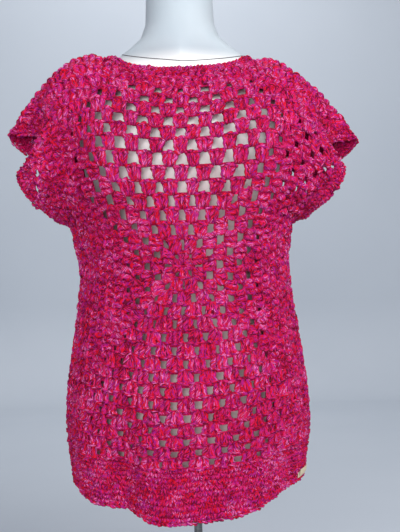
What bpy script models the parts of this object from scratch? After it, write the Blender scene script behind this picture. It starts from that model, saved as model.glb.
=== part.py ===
"""Crocheted short-sleeve sweater on a limbless dress form with a pole and a base.

The sweater is two large granny squares, a front and a back, each worked from its own
centre in sixteen rounds. Their sides are joined from the hem to the armpit and their top
edges along the shoulders, and the upper corners hang over the arms as cap sleeves. A hem
band, a neck edging and two sleeve edgings finish the open edges.

Every point of the cloth has a place on the square's chart: across and up, counted in
rounds from the square's centre. Metres, +Z up, the front faces -Y, floor at Z = 0.
"""

import math
from collections import namedtuple

import bmesh
import bpy
import numpy as np
from mathutils import Vector
from mathutils.geometry import delaunay_2d_cdt

FRONT = -1.0
BACK = 1.0

# The squares, counted in rounds
ROUNDS = 16
ARMPIT = 3.0
NECK = 6.0
HEM = -18.85
EDGE_STEP = 0.5

# Cloth
CLOTH = 0.005
HALF_SEAM = 0.00015
PULL_ACROSS = 0.011
PULL_UP = 0.010
NORMAL_PASSES = 3
NECK_EDGING = 0.012
SLEEVE_EDGING = 0.014

# Open gaps between the clusters, in rounds
GAP_INNER = 0.86
GAP_OUTER = 0.22
GAP_INNER_HALF = 0.36
GAP_OUTER_HALF = 0.28

# Which gaps are cut: side of the sweater, widest across, lowest and highest up
CutZone = namedtuple("CutZone", "side across lowest highest")
CUT_ZONES = [
    CutZone(FRONT, 6.4, -16.0, 16.0),
    CutZone(BACK, 6.4, 3.6, 16.0),
]

# Body of the sweater as a tube: one row per level, counted in rounds from the centre
Level = namedtuple(
    "Level",
    "up half_width front_depth back_depth front_height side_height back_height",
)
LEVELS = [
    Level(-18.85, 0.1870, 0.152, 0.143, 0.2030, 0.2460, 0.2140),
    Level(-16.0, 0.1920, 0.149, 0.142, 0.2735, 0.3000, 0.2790),
    Level(-14.0, 0.1915, 0.147, 0.141, 0.3045, 0.3320, 0.3105),
    Level(-12.0, 0.1900, 0.144, 0.138, 0.3360, 0.3640, 0.3430),
    Level(-8.0, 0.1820, 0.138, 0.126, 0.4118, 0.4343, 0.4200),
    Level(-4.0, 0.1710, 0.133, 0.112, 0.4889, 0.5055, 0.4970),
    Level(0.0, 0.1660, 0.133, 0.108, 0.5660, 0.5766, 0.5750),
    Level(3.0, 0.1740, 0.138, 0.115, 0.6310, 0.6300, 0.6400),
    Level(16.0, 0.1740, 0.138, 0.115, 0.8975, 0.8965, 0.9065),
]

# Guide lines over the chest, shoulders and sleeves: share of the way across, then one
# row per level: up in rounds, out from the middle, depth (front negative) and height
Guide = namedtuple("Guide", "up out depth height")
FRONT_GUIDES = {
    0.0: [
        Guide(6.0, 0.0, -0.1410, 0.6925),
        Guide(9.0, 0.0, -0.1360, 0.7545),
        Guide(11.0, 0.0, -0.1160, 0.7930),
        Guide(13.0, 0.0, -0.0940, 0.8280),
        Guide(14.5, 0.0, -0.0775, 0.8515),
        Guide(16.0, 0.0, -0.0610, 0.8700),
    ],
    0.19: [
        Guide(6.0, 0.0560, -0.1375, 0.6935),
        Guide(9.0, 0.0585, -0.1315, 0.7590),
        Guide(11.0, 0.0585, -0.1105, 0.7985),
        Guide(13.0, 0.0585, -0.0860, 0.8350),
        Guide(14.5, 0.0580, -0.0685, 0.8595),
        Guide(16.0, 0.0610, -0.0535, 0.8750),
    ],
    0.30: [
        Guide(6.0, 0.0880, -0.1290, 0.6955),
        Guide(9.0, 0.0930, -0.1235, 0.7650),
        Guide(11.0, 0.0930, -0.1025, 0.8055),
        Guide(13.0, 0.0935, -0.0745, 0.8445),
        Guide(14.5, 0.0975, -0.0520, 0.8650),
        Guide(16.0, 0.1030, -0.0370, 0.8830),
    ],
    0.375: [
        Guide(6.0, 0.1090, -0.1245, 0.6970),
        Guide(9.0, 0.1150, -0.1180, 0.7680),
        Guide(11.0, 0.1140, -0.0970, 0.8090),
        Guide(13.0, 0.1120, -0.0660, 0.8480),
        Guide(14.5, 0.1190, -0.0370, 0.8740),
        Guide(16.0, 0.1230, 0.0000, 0.9020),
    ],
    0.656: [
        Guide(6.0, 0.1680, -0.0850, 0.6900),
        Guide(9.0, 0.1800, -0.0780, 0.7580),
        Guide(11.0, 0.1860, -0.0660, 0.7980),
        Guide(13.0, 0.1920, -0.0470, 0.8350),
        Guide(14.5, 0.1960, -0.0270, 0.8610),
        Guide(16.0, 0.1980, 0.0040, 0.8770),
    ],
    1.0: [
        Guide(4.5, 0.1900, -0.0240, 0.6440),
        Guide(6.0, 0.2090, -0.0400, 0.6620),
        Guide(7.5, 0.2270, -0.0460, 0.6810),
        Guide(9.0, 0.2400, -0.0560, 0.7060),
        Guide(10.5, 0.2450, -0.0550, 0.7290),
        Guide(12.0, 0.2340, -0.0400, 0.7520),
        Guide(13.3, 0.2220, -0.0220, 0.7750),
        Guide(14.6, 0.2360, -0.0080, 0.7960),
        Guide(16.0, 0.2720, 0.0040, 0.7970),
    ],
}
BACK_GUIDES = {
    0.0: [
        Guide(6.0, 0.0, 0.1180, 0.7030),
        Guide(9.0, 0.0, 0.1130, 0.7660),
        Guide(11.0, 0.0, 0.1020, 0.8060),
        Guide(13.0, 0.0, 0.0880, 0.8430),
        Guide(14.5, 0.0, 0.0770, 0.8680),
        Guide(16.0, 0.0, 0.0680, 0.8900),
    ],
    0.19: [
        Guide(6.0, 0.0560, 0.1150, 0.7045),
        Guide(9.0, 0.0585, 0.1090, 0.7720),
        Guide(11.0, 0.0585, 0.0975, 0.8130),
        Guide(13.0, 0.0585, 0.0810, 0.8500),
        Guide(14.5, 0.0580, 0.0670, 0.8740),
        Guide(16.0, 0.0600, 0.0560, 0.8940),
    ],
    0.30: [
        Guide(6.0, 0.0880, 0.1080, 0.7075),
        Guide(9.0, 0.0930, 0.1010, 0.7820),
        Guide(11.0, 0.0930, 0.0885, 0.8245),
        Guide(13.0, 0.0935, 0.0670, 0.8610),
        Guide(14.5, 0.0975, 0.0460, 0.8820),
        Guide(16.0, 0.1030, 0.0320, 0.8970),
    ],
    0.375: [
        Guide(6.0, 0.1090, 0.1040, 0.7090),
        Guide(9.0, 0.1150, 0.0960, 0.7860),
        Guide(11.0, 0.1140, 0.0820, 0.8290),
        Guide(13.0, 0.1120, 0.0580, 0.8660),
        Guide(14.5, 0.1190, 0.0330, 0.8860),
        Guide(16.0, 0.1230, 0.0000, 0.9020),
    ],
    0.656: [
        Guide(6.0, 0.1690, 0.0760, 0.6920),
        Guide(9.0, 0.1810, 0.0740, 0.7570),
        Guide(11.0, 0.1870, 0.0660, 0.8000),
        Guide(13.0, 0.1930, 0.0520, 0.8380),
        Guide(14.5, 0.1970, 0.0320, 0.8650),
        Guide(16.0, 0.1980, 0.0040, 0.8770),
    ],
    1.0: [
        Guide(4.5, 0.1900, 0.0240, 0.6440),
        Guide(6.0, 0.2040, 0.0400, 0.6620),
        Guide(7.5, 0.2160, 0.0460, 0.6830),
        Guide(9.0, 0.2250, 0.0560, 0.7060),
        Guide(10.5, 0.2280, 0.0550, 0.7290),
        Guide(12.0, 0.2280, 0.0450, 0.7570),
        Guide(13.3, 0.2450, 0.0350, 0.7680),
        Guide(14.6, 0.2640, 0.0200, 0.7820),
        Guide(16.0, 0.2720, 0.0040, 0.7970),
    ],
}

# Folds that hang to the hem: where the middle is across, how far they reach each way,
# how far they push out and down at the hem, and the round above which they are gone
Fold = namedtuple("Fold", "sides middle reach outward down top")
FOLDS = [
    Fold((FRONT,), -1.8, 3.0, 0.0070, 0.0025, -6.0),
    Fold((FRONT,), -5.4, 2.4, -0.0120, -0.0040, -7.0),
    Fold((FRONT,), 1.6, 2.2, -0.0030, 0.0000, -6.0),
    Fold((FRONT,), 5.2, 3.0, 0.0040, 0.0010, -5.0),
    Fold((FRONT,), -9.2, 2.6, 0.0050, 0.0010, -4.0),
    Fold((FRONT,), 9.6, 2.4, -0.0040, 0.0000, -6.0),
    Fold((FRONT,), 9.0, 6.5, 0.0000, -0.0060, -13.0),
    Fold((FRONT, BACK), 16.0, 6.0, -0.0030, -0.0110, -13.0),
    Fold((FRONT, BACK), -16.0, 6.0, -0.0030, -0.0020, -13.0),
    Fold((BACK,), -6.0, 3.4, 0.0070, 0.0020, -5.0),
    Fold((BACK,), 0.0, 3.0, -0.0060, -0.0020, -6.0),
    Fold((BACK,), 6.4, 3.4, 0.0080, 0.0030, -4.0),
]

# Places where the cloth sits unevenly, left against right: the middle of each on the
# chart, how far it reaches, and how far it moves the cloth out, in depth and in height
Push = namedtuple("Push", "sides across up reach_across reach_up out depth height")
PUSHES = [
    Push((FRONT, BACK), -9.0, 16.0, 6.5, 6.0, 0.0050, 0.0, 0.0145),
    Push((FRONT, BACK), 11.5, 16.0, 5.0, 6.0, -0.0030, 0.0, -0.0050),
    Push((FRONT, BACK), -16.0, 16.0, 4.5, 4.5, 0.0010, 0.0, 0.0070),
    Push((FRONT, BACK), 16.0, 16.0, 4.5, 4.5, 0.0050, 0.0, -0.0140),
    Push((FRONT, BACK), -16.0, 3.0, 6.0, 5.0, 0.0050, 0.0, 0.0),
    Push((FRONT, BACK), 16.0, 3.0, 6.0, 5.0, -0.0030, 0.0, 0.0),
    Push((FRONT,), 16.0, 8.5, 5.0, 4.5, -0.0060, 0.0, -0.0030),
    Push((FRONT,), 16.0, 13.5, 4.0, 2.5, 0.0000, 0.0, -0.0080),
    Push((BACK,), 16.0, 12.5, 4.0, 3.0, 0.0020, 0.0, -0.0120),
]

# Label at the hem: extent on the chart, gap under it and thickness
LABEL_ACROSS = (10.9, 12.4)
LABEL_UP = (-18.68, -18.16)
LABEL_GAP = 0.0003
LABEL_THICK = 0.0014

# Dress form: one row per level; roundness 2 is an ellipse and 1 a rhomb
Ring = namedtuple("Ring", "height half_width front_depth back_depth roundness")
TORSO = [
    Ring(0.2500, 0.1590, 0.1040, 0.1120, 2.0),
    Ring(0.2540, 0.1640, 0.1090, 0.1170, 2.0),
    Ring(0.2700, 0.1690, 0.1130, 0.1210, 2.0),
    Ring(0.3100, 0.1730, 0.1170, 0.1240, 2.0),
    Ring(0.3600, 0.1700, 0.1180, 0.1220, 2.0),
    Ring(0.4300, 0.1500, 0.1100, 0.1050, 2.0),
    Ring(0.5000, 0.1280, 0.1000, 0.0900, 2.0),
    Ring(0.5450, 0.1220, 0.0960, 0.0860, 2.0),
    Ring(0.6000, 0.1300, 0.1040, 0.0920, 2.0),
    Ring(0.6600, 0.1460, 0.1200, 0.0980, 2.0),
    Ring(0.7000, 0.1530, 0.1260, 0.1010, 2.0),
    Ring(0.7400, 0.1600, 0.1220, 0.1020, 2.0),
    Ring(0.7800, 0.1680, 0.1060, 0.0990, 2.0),
    Ring(0.8200, 0.1750, 0.0840, 0.0880, 1.9),
    Ring(0.8450, 0.1780, 0.0660, 0.0740, 1.75),
    Ring(0.8650, 0.1690, 0.0500, 0.0610, 1.45),
    Ring(0.8800, 0.1500, 0.0460, 0.0560, 1.2),
    Ring(0.8890, 0.1310, 0.0455, 0.0540, 1.1),
    Ring(0.8970, 0.1150, 0.0460, 0.0530, 1.1),
    Ring(0.9045, 0.1040, 0.0465, 0.0520, 1.2),
    Ring(0.9130, 0.0960, 0.0475, 0.0515, 1.4),
    Ring(0.9230, 0.0815, 0.0485, 0.0515, 1.7),
    Ring(0.9370, 0.0640, 0.0500, 0.0520, 2.0),
    Ring(0.9600, 0.0555, 0.0520, 0.0530, 2.0),
    Ring(1.0100, 0.0536, 0.0530, 0.0530, 2.0),
    Ring(1.0220, 0.0500, 0.0490, 0.0490, 2.0),
    Ring(1.0280, 0.0380, 0.0370, 0.0370, 2.0),
]
TORSO_SIDES = 40

# Pole and base
POLE_MIDDLE = 0.012
POLE_RADIUS = 0.0065
POLE_CLEARANCE = 0.0003
POLE_TOP = 0.3097
POLE_FOOT = 0.0043
POLE_SIDES = 24
SOCKET_TOP = 0.3100
BASE_SIDES = 48
BaseRing = namedtuple("BaseRing", "height radius")
BASE = [
    BaseRing(0.0280, 0.0140),
    BaseRing(0.0260, 0.0160),
    BaseRing(0.0200, 0.0180),
    BaseRing(0.0150, 0.0300),
    BaseRing(0.0130, 0.1200),
    BaseRing(0.0110, 0.1440),
    BaseRing(0.0085, 0.1490),
    BaseRing(0.0050, 0.1500),
    BaseRing(0.0020, 0.1490),
    BaseRing(0.0000, 0.1460),
]
BASE_BORE_FLOOR = 0.0040

Finish = namedtuple("Finish", "name colour roughness metallic")
YARN = Finish("pink_yarn", (0.62, 0.02, 0.16), 0.85, 0.0)
FORM = Finish("form_white", (0.78, 0.78, 0.76), 0.45, 0.0)
STEEL = Finish("grey_steel", (0.10, 0.11, 0.12), 0.35, 0.9)
RIBBON = Finish("beige_ribbon", (0.72, 0.62, 0.46), 0.8, 0.0)


def read_table(knots, values, places, flat_start=False):
    """Reads a smooth curve through a table.

    knots is (k,), values is (k, m) or (k, n, m) with a curve of its own for each place,
    places is (n,). The answer is (n, m).
    """
    knots = np.asarray(knots, float)
    values = np.asarray(values, float)
    step = np.diff(knots)
    wide = step.reshape((-1,) + (1,) * (values.ndim - 1))
    rise = np.diff(values, axis=0) / wide
    slope = np.empty_like(values)
    slope[0] = 0.0 if flat_start else rise[0]
    slope[-1] = rise[-1]
    slope[1:-1] = (rise[:-1] * wide[1:] + rise[1:] * wide[:-1]) / (wide[1:] + wide[:-1])
    span = np.clip(np.searchsorted(knots, places, "right") - 1, 0, len(step) - 1)
    part = ((places - knots[span]) / step[span])[:, None]
    length = step[span][:, None]
    if values.ndim == 3:
        each = np.arange(len(places))
        start, end = values[span, each], values[span + 1, each]
        leave, arrive = slope[span, each], slope[span + 1, each]
    else:
        start, end = values[span], values[span + 1]
        leave, arrive = slope[span], slope[span + 1]
    return (
        (2 * part**3 - 3 * part**2 + 1) * start
        + (part**3 - 2 * part**2 + part) * length * leave
        + (3 * part**2 - 2 * part**3) * end
        + (part**3 - part**2) * length * arrive
    )


def ease(share):
    """Goes from 0 to 1 with level ends."""
    share = np.clip(share, 0.0, 1.0)
    return share * share * (3 - 2 * share)


def tube(side, share, up):
    """Points of the body tube, carried straight on above the armpit."""
    row = read_table([r.up for r in LEVELS], [r[1:] for r in LEVELS], up)
    half_width, front_depth, back_depth, front_height, side_height, back_height = row.T
    depth, height = (
        (front_depth, front_height) if side == FRONT else (back_depth, back_height)
    )
    turn = 0.5 * math.pi * share
    return np.stack(
        [
            half_width * np.sin(turn),
            side * depth * np.cos(turn),
            height + (side_height - height) * np.sin(turn) ** 2,
        ],
        axis=1,
    )


def upper_shift(side, share, up):
    """How far the cloth over the chest and shoulders lies from the body tube."""
    guides = FRONT_GUIDES if side == FRONT else BACK_GUIDES
    stations, curves = [], []
    for station, rows in guides.items():
        levels = np.array([row.up for row in rows])
        line = np.array([row[1:] for row in rows])
        shift = line - tube(side, np.full(len(levels), station), levels)
        knots = np.concatenate([[ARMPIT], levels])
        shift = np.concatenate([np.zeros((1, 3)), shift])
        stations.append(station)
        curves.append(read_table(knots, shift, np.clip(up, ARMPIT, ROUNDS), True))
    mirrored = curves[1] * (-1.0, 1.0, 1.0)
    knots = [-stations[1]] + stations
    shift = read_table(knots, np.array([mirrored] + curves), np.abs(share))
    return np.where(up[:, None] > ARMPIT, shift, 0.0)


def unfolded(side, share, up):
    """Points of the cloth before its hanging folds, for shares from 0 to 1."""
    return tube(side, share, up) + upper_shift(side, share, up)


def cloth_points(side, across, up):
    """Outer face of the cloth at chart places given in rounds."""
    across = np.asarray(across, float)
    up = np.asarray(up, float)
    share = np.abs(across) / ROUNDS
    points = unfolded(side, share, up)
    # The two squares meet in one line along the shoulders
    top = np.full(len(up), float(ROUNDS))
    own = unfolded(side, share, top)
    seam = 0.5 * (unfolded(FRONT, share, top) + unfolded(BACK, share, top))
    near = ease((up - 13.0) / 3.0) * (share >= NECK / ROUNDS)
    points = points + (seam - own) * near[:, None]
    points[:, 0] *= np.where(across < 0, -1.0, 1.0)
    turn = 0.5 * math.pi * across / ROUNDS
    for fold in FOLDS:
        if side not in fold.sides:
            continue
        off = np.clip((across - fold.middle) / fold.reach, -1.0, 1.0)
        much = 0.5 * (1 + np.cos(math.pi * off)) * ease((fold.top - up) / (fold.top - HEM))
        points[:, 0] += fold.outward * much * np.sin(turn)
        points[:, 1] += fold.outward * much * np.cos(turn) * side
        points[:, 2] -= fold.down * much
    for push in PUSHES:
        if side not in push.sides:
            continue
        off = np.clip((across - push.across) / push.reach_across, -1.0, 1.0)
        rise = np.clip((up - push.up) / push.reach_up, -1.0, 1.0)
        much = 0.25 * (1 + np.cos(math.pi * off)) * (1 + np.cos(math.pi * rise))
        points[:, 0] += push.out * much * math.copysign(1.0, push.across)
        points[:, 1] += push.depth * much
        points[:, 2] += push.height * much
    return points


def side_normals(side, across, up):
    """Outward unit normals of one square's outer face."""
    reach = 0.06
    low_up = np.maximum(up - reach, HEM)
    high_up = np.minimum(up + reach, ROUNDS)
    low_across = np.maximum(across - reach, -ROUNDS)
    high_across = np.minimum(across + reach, ROUNDS)
    along = cloth_points(side, high_across, up) - cloth_points(side, low_across, up)
    rise = cloth_points(side, across, high_up) - cloth_points(side, across, low_up)
    normal = np.cross(along, rise) * (1.0 if side == FRONT else -1.0)
    return normal / np.linalg.norm(normal, axis=1, keepdims=True)


def cloth_normals(side, across, up):
    """Outward unit normals, shared by both squares where they are joined."""
    across = np.asarray(across, float)
    up = np.asarray(up, float)
    own = side_normals(side, across, up)
    other = side_normals(-side, across, up)
    on_side = (np.abs(across) > ROUNDS - 0.01) & (up <= ARMPIT + 1e-6)
    on_shoulder = (up > ROUNDS - 0.01) & (np.abs(across) >= NECK - 1e-6)
    normal = np.where((on_side | on_shoulder)[:, None], own + other, own)
    return normal / np.linalg.norm(normal, axis=1, keepdims=True)


def gap_outlines():
    """Four chart corners of every gap of a granny square, round by round."""
    gaps = []
    for turn in range(4):
        for number in range(1, ROUNDS + 1):
            inner, outer = number - GAP_INNER, number - GAP_OUTER
            half = number - 0.5
            corner = [(-outer, inner), (-inner, inner), (-inner, outer), (-outer, outer)]
            outlines = [corner]
            for step in range(1, number):
                middle = -half + step * 2 * half / number
                outlines.append(
                    [
                        (middle - GAP_INNER_HALF, inner),
                        (middle + GAP_INNER_HALF, inner),
                        (middle + GAP_OUTER_HALF, outer),
                        (middle - GAP_OUTER_HALF, outer),
                    ]
                )
            for outline in outlines:
                for _ in range(turn):
                    outline = [(-y, x) for x, y in outline]
                gaps.append(np.array(outline))
    return gaps


def cut_gaps(side):
    """Outlines of the gaps that are cut through on one side of the sweater."""
    chosen = []
    for outline in gap_outlines():
        across, up = outline.mean(axis=0)
        for zone in CUT_ZONES:
            inside = abs(across) <= zone.across and zone.lowest <= up <= zone.highest
            if zone.side == side and inside:
                chosen.append(outline)
    return chosen


def edge_stations():
    """Chart places round the square's edge, closer along the neck and the sleeves."""
    wide = np.arange(-ROUNDS, ROUNDS + 0.5, 1.0)
    top = sorted(set(wide) | set(np.arange(-NECK, NECK + 0.1, EDGE_STEP)))
    rise = sorted(set(wide) | set(np.arange(ARMPIT, ROUNDS + 0.1, EDGE_STEP)))
    loop = [(a, -ROUNDS) for a in wide[:-1]]
    loop += [(ROUNDS, b) for b in rise[:-1]]
    loop += [(a, ROUNDS) for a in reversed(top[1:])]
    loop += [(-ROUNDS, b) for b in reversed(rise[1:])]
    return loop


def inner_stations(side):
    """Chart places inside the square: gap middles of every second round, outside the cut."""
    zone = next(z for z in CUT_ZONES if z.side == side)
    places = [(0.0, 0.0)] if zone.lowest > 0 else []
    for outline in gap_outlines():
        across, up = outline.mean(axis=0)
        ring = round(max(abs(across), abs(up)) + 0.54)
        sleeve = abs(across) > 9.0 and up > 1.0
        if ring == ROUNDS or (ring % 2 and not sleeve):
            continue
        beyond = abs(across) > zone.across + 0.9
        if beyond or not zone.lowest - 0.9 <= up <= zone.highest + 0.9:
            places.append((across, up))
    return places


def add_object(name, points, faces, finish, smooth=True):
    """Makes one named solid from points and faces."""
    mesh = bpy.data.meshes.new(name)
    mesh.from_pydata([tuple(map(float, p)) for p in points], [], faces)
    shape = bmesh.new()
    shape.from_mesh(mesh)
    bmesh.ops.recalc_face_normals(shape, faces=shape.faces)
    shape.to_mesh(mesh)
    shape.free()
    if smooth:
        mesh.shade_smooth()
    mesh.materials.append(materials[finish.name])
    obj = bpy.data.objects.new(name, mesh)
    collection.objects.link(obj)
    return obj


def walled(outer, inner, triangles, rank):
    """Closes two matching skins into one wall, with a rim round each open edge.

    rank orders the points along an edge, so that both sides of a seam split alike.
    """
    count = len(outer)
    faces = [tuple(t) for t in triangles]
    faces += [(c + count, b + count, a + count) for a, b, c in triangles]
    edges = {}
    for a, b, c in triangles:
        for start, end in ((a, b), (b, c), (c, a)):
            edges[(start, end)] = True
    for start, end in edges:
        if (end, start) in edges:
            continue
        if rank[start] > rank[end]:
            faces += [(end, start, end + count), (start, start + count, end + count)]
        else:
            faces += [(end, start, start + count), (end, start + count, end + count)]
    return np.concatenate([outer, inner]), faces


def panel(side):
    """Points and faces of one granny square with its gaps cut through."""
    places = list(edge_stations())
    count = len(places)
    edges = [(k, (k + 1) % count) for k in range(count)]
    gaps = cut_gaps(side)
    for outline in gaps:
        first = len(places)
        places += [tuple(corner) for corner in outline]
        edges += [(first + k, first + (k + 1) % 4) for k in range(4)]
    places += inner_stations(side)
    spots, _, triangles, _, _, _ = delaunay_2d_cdt(
        [Vector(place) for place in places], edges, [], 0, 1e-6
    )
    spots = np.array([tuple(spot) for spot in spots])
    triangles = np.array([tuple(t) for t in triangles])
    middles = spots[triangles].mean(axis=1)
    keep = np.ones(len(triangles), bool)
    for outline in gaps:
        ahead = np.roll(outline, -1, axis=0) - outline
        to = middles[:, None, :] - outline[None]
        turned = ahead[None, :, 0] * to[..., 1] - ahead[None, :, 1] * to[..., 0]
        keep &= ~((turned > 0).all(axis=1) | (turned < 0).all(axis=1))
    triangles = triangles[keep]
    corner = spots[triangles]
    one, two = corner[:, 1] - corner[:, 0], corner[:, 2] - corner[:, 0]
    flipped = (one[:, 0] * two[:, 1] - one[:, 1] * two[:, 0]) < 0
    triangles[flipped] = triangles[flipped][:, ::-1]
    if side == BACK:
        triangles = triangles[:, ::-1]
    normals = cloth_normals(side, spots[:, 0], spots[:, 1])
    shared = {}
    for ring in (neck_places(), sleeve_places(1), sleeve_places(-1)):
        for place, normal in zip(ring, edge_frames(ring)[1]):
            corner = place[2] == ARMPIT or (place[2] == ROUNDS and abs(place[1]) >= NECK)
            if place[0] == side or corner:
                shared[place[1:]] = normal
    for k, spot in enumerate(spots[:count]):
        normals[k] = shared.get(tuple(spot), normals[k])
    across = np.clip(spots[:, 0], -ROUNDS + PULL_ACROSS, ROUNDS - PULL_ACROSS)
    up = np.clip(spots[:, 1], -ROUNDS + PULL_UP, ROUNDS - PULL_UP)
    outer = cloth_points(side, across, up)
    rank = np.abs(spots[:, 0]) + spots[:, 1]
    return walled(outer, outer - normals * CLOTH, triangles.tolist(), rank)


def swept(profile_rows, rank):
    """Faces of a closed ring of equal profiles, each from its outer seam point round."""
    rows, size = len(profile_rows), len(profile_rows[0])
    points = np.concatenate(profile_rows)
    faces = []
    for row in range(rows):
        follow = (row + 1) % rows
        outer, inner = row * size, row * size + size - 1
        next_outer, next_inner = follow * size, follow * size + size - 1
        if rank[row] > rank[follow]:
            faces += [(inner, outer, next_inner), (outer, next_outer, next_inner)]
        else:
            faces += [(inner, outer, next_outer), (inner, next_outer, next_inner)]
        for k in range(size - 1):
            far = (k + 1) % size
            faces.append(
                (row * size + k, row * size + far, follow * size + far, follow * size + k)
            )
    return points, faces


def edge_frames(places):
    """Points, evened normals and directions along a ring of (side, across, up)."""
    base = np.array([cloth_points(side, [a], [b])[0] for side, a, b in places])
    normals = np.array([cloth_normals(side, [a], [b])[0] for side, a, b in places])
    for _ in range(NORMAL_PASSES):
        normals = 0.25 * (np.roll(normals, 1, 0) + 2 * normals + np.roll(normals, -1, 0))
        normals /= np.linalg.norm(normals, axis=1, keepdims=True)
    return base, normals, np.roll(base, -1, axis=0) - np.roll(base, 1, axis=0)


def edging(places, width, sign):
    """A band round an open edge; sign turns it away from the cloth."""
    base, normals, ahead = edge_frames(places)
    away = np.cross(normals, ahead) * sign
    away /= np.linalg.norm(away, axis=1, keepdims=True)
    rows = []
    for point, normal, out in zip(base, normals, away):
        start, shoulder = out * 2 * HALF_SEAM, out * (width - 0.3 * CLOTH)
        rows.append(
            np.array(
                [
                    point + start,
                    point + shoulder,
                    point + out * width - normal * 0.5 * CLOTH,
                    point + shoulder - normal * CLOTH,
                    point + start - normal * CLOTH,
                ]
            )
        )
    return swept(rows, [abs(a) + b for _, a, b in places])


def neck_places():
    """Ring of chart places round the neck opening."""
    steps = np.arange(-NECK, NECK + 0.1, EDGE_STEP)
    front = [(FRONT, a, ROUNDS) for a in steps]
    back = [(BACK, a, ROUNDS) for a in reversed(steps[1:-1])]
    return front + back


def sleeve_places(hand):
    """Ring of chart places round one sleeve opening; hand is 1 or -1."""
    steps = np.arange(ARMPIT, ROUNDS + 0.1, EDGE_STEP)
    front = [(FRONT, hand * ROUNDS, b) for b in steps]
    back = [(BACK, hand * ROUNDS, b) for b in reversed(steps[1:-1])]
    return front + back


def hem_band():
    """The band round the hem, worked in the round under both squares."""
    spots = [(FRONT, float(a)) for a in range(-ROUNDS, ROUNDS)]
    spots += [(BACK, float(a)) for a in range(ROUNDS, -ROUNDS, -1)]
    top, bottom = -ROUNDS - PULL_UP, HEM
    levels = [top, -17.4, bottom + 0.09]
    rows = []
    for side, across in spots:
        a = np.full(3, across)
        b = np.array(levels)
        outer = cloth_points(side, a, b)
        normal = cloth_normals(side, a, np.maximum(b, HEM + 0.1))
        edge = cloth_points(side, [across], [bottom])[0] - normal[2] * 0.5 * CLOTH
        inner = outer - normal * CLOTH
        rows.append(np.concatenate([outer, [edge], inner[::-1]]))
    return swept(rows, [abs(across) for _, across in spots])


def label():
    """The folded label on the hem band, lifted a little at its far end."""
    steps = np.linspace(*LABEL_ACROSS, 4)
    rises = np.linspace(*LABEL_UP, 3)
    across, up = np.meshgrid(steps, rises)
    across, up = across.ravel(), up.ravel()
    base = cloth_points(FRONT, across, up)
    normals = cloth_normals(FRONT, across, up)
    lift = 0.003 * ((across - LABEL_ACROSS[0]) / np.ptp(LABEL_ACROSS))[:, None] ** 2
    under = base + normals * (LABEL_GAP + lift)
    over = under + normals * LABEL_THICK
    triangles = []
    for row in range(2):
        for k in range(3):
            one = row * 4 + k
            triangles += [(one, one + 1, one + 5), (one, one + 5, one + 4)]
    return walled(over, under, triangles, across + up)


def ring_points(ring, sides):
    """Points of one level of the dress form."""
    points = []
    for k in range(sides):
        angle = 2 * math.pi * k / sides
        cosine, sine = math.cos(angle), math.sin(angle)
        power = 2.0 / ring.roundness
        depth = ring.back_depth if sine >= 0 else ring.front_depth
        points.append(
            (
                ring.half_width * math.copysign(abs(cosine) ** power, cosine),
                depth * math.copysign(abs(sine) ** power, sine),
                ring.height,
            )
        )
    return points


def torso():
    """Points and faces of the limbless form: a stack of rings with a flat face at each end."""
    rings = [ring_points(ring, TORSO_SIDES) for ring in TORSO]
    points = [point for ring in rings for point in ring]
    faces = [tuple(reversed(range(TORSO_SIDES)))]
    for level in range(len(rings) - 1):
        low, high = level * TORSO_SIDES, (level + 1) * TORSO_SIDES
        for k in range(TORSO_SIDES):
            far = (k + 1) % TORSO_SIDES
            faces.append((low + k, low + far, high + far, high + k))
    last = (len(rings) - 1) * TORSO_SIDES
    faces.append(tuple(range(last, last + TORSO_SIDES)))
    return points, faces


def bore_torso(form):
    """Cuts the blind bore for the pole into the underside of the form."""
    depth = SOCKET_TOP - TORSO[0].height
    bpy.ops.mesh.primitive_cylinder_add(
        vertices=POLE_SIDES,
        radius=POLE_RADIUS + POLE_CLEARANCE,
        depth=2 * depth,
        location=(POLE_MIDDLE, 0.0, TORSO[0].height),
    )
    cutter = bpy.context.object
    cutter.name = "pole_bore_cutter"
    cutter.hide_render = True
    cutter.display_type = "WIRE"
    place_in(cutter, cutters)
    cut = form.modifiers.new("pole_bore", "BOOLEAN")
    cut.object = cutter
    cut.operation = "DIFFERENCE"


def base_plate():
    """The round base, turned from a profile with a blind bore for the pole."""
    bore = POLE_RADIUS + POLE_CLEARANCE
    profile = [(0.0, BASE_BORE_FLOOR), (bore, BASE_BORE_FLOOR), (bore, BASE[0].height)]
    profile += [(ring.radius, ring.height) for ring in BASE] + [(0.0, 0.0)]
    mesh = bpy.data.meshes.new("base_plate")
    mesh.from_pydata(
        [(x, 0.0, z) for x, z in profile],
        [(k, k + 1) for k in range(len(profile) - 1)],
        [],
    )
    mesh.materials.append(materials[STEEL.name])
    plate = bpy.data.objects.new("base_plate", mesh)
    plate.location = (POLE_MIDDLE, 0.0, 0.0)
    collection.objects.link(plate)
    turned = plate.modifiers.new("turned", "SCREW")
    turned.steps = turned.render_steps = BASE_SIDES
    turned.use_merge_vertices = True
    turned.merge_threshold = 0.00001
    return plate


def pole():
    """The straight pole between the base and the form."""
    bpy.ops.mesh.primitive_cylinder_add(
        vertices=POLE_SIDES,
        radius=POLE_RADIUS,
        depth=POLE_TOP - POLE_FOOT,
        location=(POLE_MIDDLE, 0.0, 0.5 * (POLE_TOP + POLE_FOOT)),
    )
    rod = bpy.context.object
    rod.name = "pole"
    rod.data.materials.append(materials[STEEL.name])
    place_in(rod, collection)
    return rod


def place_in(obj, home):
    """Moves an object into one collection."""
    for old_home in list(obj.users_collection):
        old_home.objects.unlink(obj)
    home.objects.link(obj)


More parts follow.
